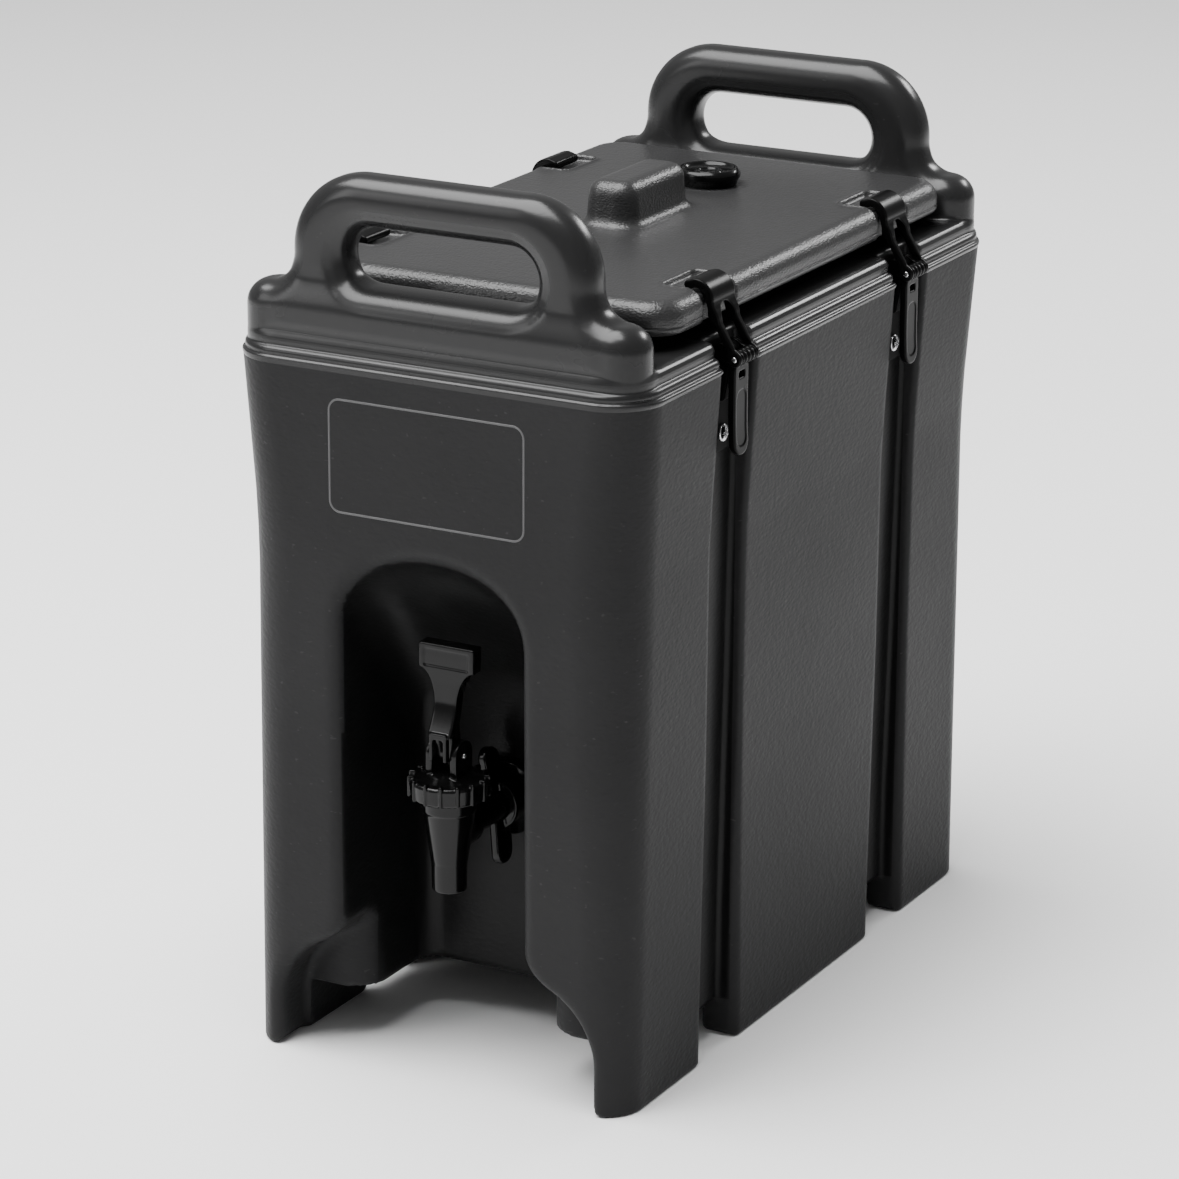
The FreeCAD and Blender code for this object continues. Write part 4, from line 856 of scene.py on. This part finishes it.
def placed_copy(piece, name, side, offset):
    """A right-side latch piece turned to its side and set along Y."""
    mesh = piece.data.copy()
    mesh.name = name
    turn = Matrix.Rotation(0 if side > 0 else math.pi, 4, "Z")
    mesh.transform(Matrix.Translation((0, offset * MM, 0)) @ turn)
    copy = bpy.data.objects.new(name, mesh)
    bpy.context.collection.objects.link(copy)
    return copy


def make_latches(plastic, dull, metal):
    """Four latches, from one drawing of each piece."""
    drawings = (
        (
            "hook", hook_field,
            lines((90.5, 124, 0.5)), mirrored((0, 13, 0.5)), lines((371.5, 417, 0.5)),
        ),
        (
            "lever", lever_field,
            lines((104.5, 124.5, 0.5)), lines((-8.4, 8.4, 0.45)), lines((323.5, 384, 0.6)),
        ),
        (
            "bracket", bracket_field,
            lines((102.5, 116, 0.6)), lines((-13.8, 13.8, 0.7)), lines((324, 384, 0.9)),
        ),
        (
            "screw", screw_field,
            lines((99, 107, 0.8), (107, 111.5, 0.22)), lines((-5, 5, 0.22)), lines((330, 340, 0.22)),
        ),
    )
    hook, lever, bracket, screw = [field_mesh(*drawing) for drawing in drawings]
    pins = []
    for name, centre, radius, reach, edge, segments in (
        ("pin", HINGE, 1.5, 10.8, 0.5, 40), ("stub", PIVOT, 1.98, 7.6, 0.4, 32),
    ):
        profile = rounded_profile([(0, -reach), (radius, -reach), (radius, reach), (0, reach)], edge)
        pins.append(lathe(name, profile, "Y", (centre[0], 0, centre[1]), segments))
    pin, stub = pins
    screws = []
    for place, side, end in LATCHES:
        offset = end * LATCH_Y
        for source, kind, body, material, slot in (
            (hook, "hook", place + "_hook", plastic, "latch_nylon"),
            (lever, "lever", place + "_lever", plastic, "latch_nylon"),
            (bracket, "bracket", "root", dull, "latch_nylon"),
            (pin, "hook_pin", place + "_lever", metal, "steel"),
            (stub, "lever_pin", "root", metal, "steel"),
        ):
            piece = placed_copy(source, f"{place}_{kind}_detail", side, offset)
            dress(piece, material, body, slot, f"{place}_{kind}")
        screws.append(placed_copy(screw, f"{place}_screw_detail", side, offset))
    bpy.ops.object.select_all(action="DESELECT")
    for item in screws:
        item.select_set(True)
    bpy.context.view_layer.objects.active = screws[0]
    bpy.ops.object.join()
    screws[0].name = "latch_screws_detail"
    dress(screws[0], metal, "root", "steel", "latch_screws")
    for source in (hook, lever, bracket, screw, pin, stub):
        bpy.data.objects.remove(source)


# ---------------------------------------------------------------- vent cap and faucet

FAUCET_Y = -188.0
SHANK_Z = 130.0
HANDLE_PIVOT_Z = 173.0
BONNET_RIBS = 15
WING_TILT = math.radians(9)

# the vent cap's half section: radius, and height above the lid
VENT_CAP = [
    (0, -12), (7.9, -12), (8.9, -11), (8.9, 1.4), (14.4, 1.4), (14.4, 0.35), (15.2, 0.35),  # neck
    (15.9, 3.0), (17.25, 4.6), (17.25, 7.6), (15.6, 9.5),  # rim
    (14.0, 9.2), (12.6, 7.6), (7.5, 7.0), (6.8, 7.9), (5.6, 7.9), (5.0, 7.0), (0, 6.8),  # dish
]


def make_vent_cap(plastic):
    """Round vent cap with a neck through the lid, a raised rim and a dished top."""
    profile = rounded_profile([(radius, LID_TOP + height) for radius, height in VENT_CAP], 0.9, 4)
    cap = lathe("vent_cap_detail", profile, "Z", (0, VENT_Y, 0), 128)
    dress(cap, plastic, "vent_cap", "cap_plastic", "vent_cap")


def faucet_outside(x, y, z):
    """Spout and chamber body with its shank, without the bores."""
    r = np.hypot(x, y - FAUCET_Y)
    heights = [99.7, 100.4, 114.6, 115.6, 142.6, 143.6, 156]
    width = np.interp(z, heights, [8.4, 9.0, 9.2, 9.5, 13.6, 14.3, 14.6])
    body = round_max(r - width, np.abs(z - 127.4) - 27.7, 0.5)
    across = np.hypot(x, z - SHANK_Z)
    thread = 0.22 * np.cos(2 * math.pi * y / 1.75) * (y > -160)
    shank = round_max(across - 7.8 - thread, np.maximum(y + 60, FAUCET_Y - y), 0.5)
    boss = round_max(across - 10.5, np.abs(y + 176) - 6, 1.5)
    return round_min(round_min(body, shank, 3), boss, 1.5)


def faucet_field(x, y, z):
    """The faucet body with its outlet, chamber and shank bore."""
    r = np.hypot(x, y - FAUCET_Y)
    bore = r - np.interp(z, [111, 113.5], [6.5, 8.2])
    bore = np.minimum(bore, np.maximum(np.hypot(x, z - SHANK_Z) - 5, FAUCET_Y - y))
    return round_max(faucet_outside(x, y, z), -bore, 0.4)


def bonnet_field(x, y, z):
    """Bonnet ring with raised grip ribs, a domed crown and the fork for the handle."""
    dy = y - FAUCET_Y
    r = np.hypot(x, dy)
    ring = np.interp(z, [149.5, 151.5, 159.0, 161.5], [18.6, 20.2, 20.6, 19.0])
    skirt = round_max(r - ring, np.abs(z - 155.3) - 5.3, 0.9)
    angle = np.arctan2(dy, x)
    step = 2 * math.pi / BONNET_RIBS
    around = (np.mod(angle + step / 2, step) - step / 2) * r
    rib = round_max(np.abs(around) - 0.85, np.abs(r - 19.5) - 1.8, 0.45)
    rib = round_max(rib, np.abs(z - 156.4) - 5.6, 0.6)
    crown_top = 165.2 - 0.022 * r**2
    dome = round_max(r - 15.5, np.maximum(z - crown_top, 158 - z), 1.0)
    total = round_min(round_min(skirt, dome, 1.5), rib, 0.5)
    ear = rounded_box(dy, z - 170, 8.5, 11, 7.5)
    ears = round_max(round_max(ear, np.abs(np.abs(x) - 7.1) - 1.9, 0.6), 160 - z, 0.2)
    total = round_min(total, ears, 1.5)
    inside = np.maximum(r - 16.05, z - 157)
    stem = r - 3.1
    return round_max(total, -np.minimum(inside, stem), 0.3)


def faucet_handle_field(x, y, z):
    """Faucet handle: yoke, concave knee, waisted neck and wide paddle with a sunk panel."""
    dy = y - FAUCET_Y
    tang = round_max(bar(dy, z, (0, HANDLE_PIVOT_Z, 4.3), (-1.5, 188, 4.6)), np.abs(x) - 4.9, 0.5)
    knee = np.clip((202 - z) / 18, 0, 1)
    lean = 0.065 * (z - 202) - 6.4 * knee**1.7
    flare = np.clip((z - 198.5) / 19.5, 0, 1)
    half = 6.4 + 9.6 * (1 - np.sqrt(1 - flare**2.2)) ** 0.9 + 0.5 * knee
    thickness = 3.7 + 0.7 * np.clip((z - 212) / 12, 0, 1)
    panel = 0.5 * np.clip(-rounded_box(x, z - 223.6, 13.4, 5.0, 1.5), 0, 1) * (dy < lean)
    blade = round_max(np.abs(x) - half, (np.abs(dy - lean) - thickness) * 0.93, 1.0)
    blade = round_max(blade, np.abs(z - 207.7) - 23.3, 1.0) + panel
    yoke = round_max(np.abs(x) - 5.0, np.maximum(np.abs(z - 179.2) - 7.4, np.abs(dy + 9.7) - 1.9), 0.7)
    arch = round_max(np.abs(x) - 3.1, z - 183.4, 1.6)
    yoke = round_max(yoke, -arch, 0.4)
    total = round_min(blade, tang, 1.2)
    return round_min(total, yoke, 0.7)


def wing_nut_field(x, y, z):
    """Wing nut: round hub with two large rounded wings that lean forward."""
    cosine, sine = math.cos(WING_TILT), math.sin(WING_TILT)
    up = z - SHANK_Z
    dx, dz = x * cosine + up * sine, up * cosine - x * sine
    across = np.hypot(dx, dz)
    hub = round_max(across - 13, np.abs(y + 135.6) - 5.4, 1.2)
    lean = -137.5 - 0.13 * np.abs(dz)
    leaf = rounded_box(y - lean, np.abs(dz) - 15, 7.3, 16.3, 6.8)
    wing = thick(leaf, dx, 2.6, 1.3)
    total = round_min(hub, wing, 3.0)
    total = np.maximum(total, y + 130.15)
    return round_max(total, 8.02 - across, 0.4)


def make_faucet(plastic, rubber_look, metal):
    """The faucet's pieces that show."""
    body = field_mesh(
        "faucet_body_detail", faucet_field, lines((-17, 17, 0.55)),
        lines((-204, -170, 0.7), (-170, -158, 1.4), (-158, -58.8, 0.8)),
        lines((98.8, 116, 0.9), (116, 141, 1.2), (141, 156.5, 0.7)),
    )
    thin_out(body, 60000)
    dress(body, plastic, "root", "faucet_plastic", "faucet_body")
    bonnet = field_mesh(
        "bonnet_detail", bonnet_field, lines((-22.6, 22.6, 0.5)), lines((-210.6, -165.4, 0.5)),
        lines((148.8, 182.2, 0.6)),
    )
    thin_out(bonnet, 70000)
    dress(bonnet, plastic, "root", "faucet_plastic", "bonnet")
    handle = field_mesh(
        "faucet_handle_detail", faucet_handle_field, lines((-17, 17, 0.5)), lines((-202.5, -178, 0.5)),
        lines((167, 232.2, 0.6)),
    )
    dress(handle, plastic, "faucet_handle", "faucet_plastic", "faucet_handle")
    nut = field_mesh(
        "wing_nut_detail", wing_nut_field, lines((-14.5, 14.5, 0.6)), lines((-152, -129.4, 0.6)),
        lines((97, 163, 0.7)),
    )
    dress(nut, plastic, "root", "faucet_plastic", "wing_nut")
    profile = rounded_profile([(0, -9.8), (1.58, -9.8), (1.58, 9.8), (0, 9.8)], 0.4)
    pin = lathe("handle_pin_detail", profile, "X", (0, FAUCET_Y, HANDLE_PIVOT_Z), 32)
    dress(pin, metal, "root", "steel", "handle_pin")
    for name, radius, near, far, look, slot in (
        ("shank_washer", 20, 126.02, 129.98, plastic, "faucet_plastic"),
        ("shank_gasket", 17, 123.02, 125.98, rubber_look, "seal_rubber"),
    ):
        profile = rounded_profile([(8.02, near), (radius, near), (radius, far), (8.02, far)], 0.8)
        ring = lathe(name + "_detail", profile, "Y", (0, 0, SHANK_Z), 96)
        dress(ring, look, "root", slot, name)


# ---------------------------------------------------------------- assembly

make_camera()
make_studio()

PLASTICS = {
    # the body plastic's paled edges stand for both wear and a painted highlight
    "body_plastic": dict(shade=0.018, roughness=0.42, grain=1.8, depth=0.15, edge_wear_and_sheen=0.5, gloss=0.06),
    "smooth_plastic": dict(shade=0.011, roughness=0.26, grain=0.9, depth=0.012, gloss=0.3),
    # the recess plastic is darker than the body plastic as painted shade inside the channels and the bay
    "recess_shade_plastic": dict(shade=0.005, roughness=0.36, grain=1.8, depth=0.08, gloss=0.12),
    "lid_plastic_look": dict(shade=0.017, roughness=0.34, grain=0.8, depth=0.16, gloss=0.4),
    # the frame line's plastic is paler than the body plastic: a painted highlight along the raised outline
    "frame_line_highlight_plastic": dict(shade=0.055, roughness=0.4, grain=0.9, depth=0.05, gloss=0.4),
    "black_nylon": dict(shade=0.002, roughness=0.28, grain=0.5, depth=0.01, gloss=0.08),
    "dull_nylon": dict(shade=0.002, roughness=0.5, grain=0.5, depth=0.01, gloss=0.05),
    "gloss_black_plastic": dict(shade=0.002, roughness=0.17, grain=0.6, depth=0.006, gloss=0.2),
    "seal_rubber_look": dict(shade=0.02, roughness=0.62, grain=0.5, depth=0.03, gloss=0.3),
    "foam_look": dict(shade=0.72, roughness=0.8, grain=2.5, depth=0.3, tint=(1.0, 0.93, 0.72)),
}
plastics = {name: moulded_plastic(name, **values) for name, values in PLASTICS.items()}
bright_steel = steel("bright_steel")

# the record's material slots, and the looks of the CAD pieces in them
LOOKS = {
    "shell_plastic": plastics["body_plastic"],
    "lid_plastic": plastics["lid_plastic_look"],
    "foam": plastics["foam_look"],
    "plug_plastic": plastics["body_plastic"],
    "seal_rubber": plastics["seal_rubber_look"],
    "latch_nylon": plastics["black_nylon"],
    "steel": bright_steel,
    "cap_plastic": plastics["gloss_black_plastic"],
    "faucet_plastic": plastics["gloss_black_plastic"],
}

for part in frame["record"]["subparts"]:
    node = frame["nodes"][part["node"]]
    node.data.materials.clear()
    node.data.materials.append(LOOKS[part["material_slot"]])

make_body(plastics["body_plastic"], plastics["smooth_plastic"], plastics["recess_shade_plastic"])
# the label frame is paler than the body it is moulded in: a painted highlight
make_label_frame(plastics["frame_line_highlight_plastic"])
make_lid(plastics["lid_plastic_look"])
make_latches(plastics["black_nylon"], plastics["dull_nylon"], bright_steel)
make_vent_cap(plastics["gloss_black_plastic"])
make_faucet(plastics["gloss_black_plastic"], plastics["seal_rubber_look"], bright_steel)
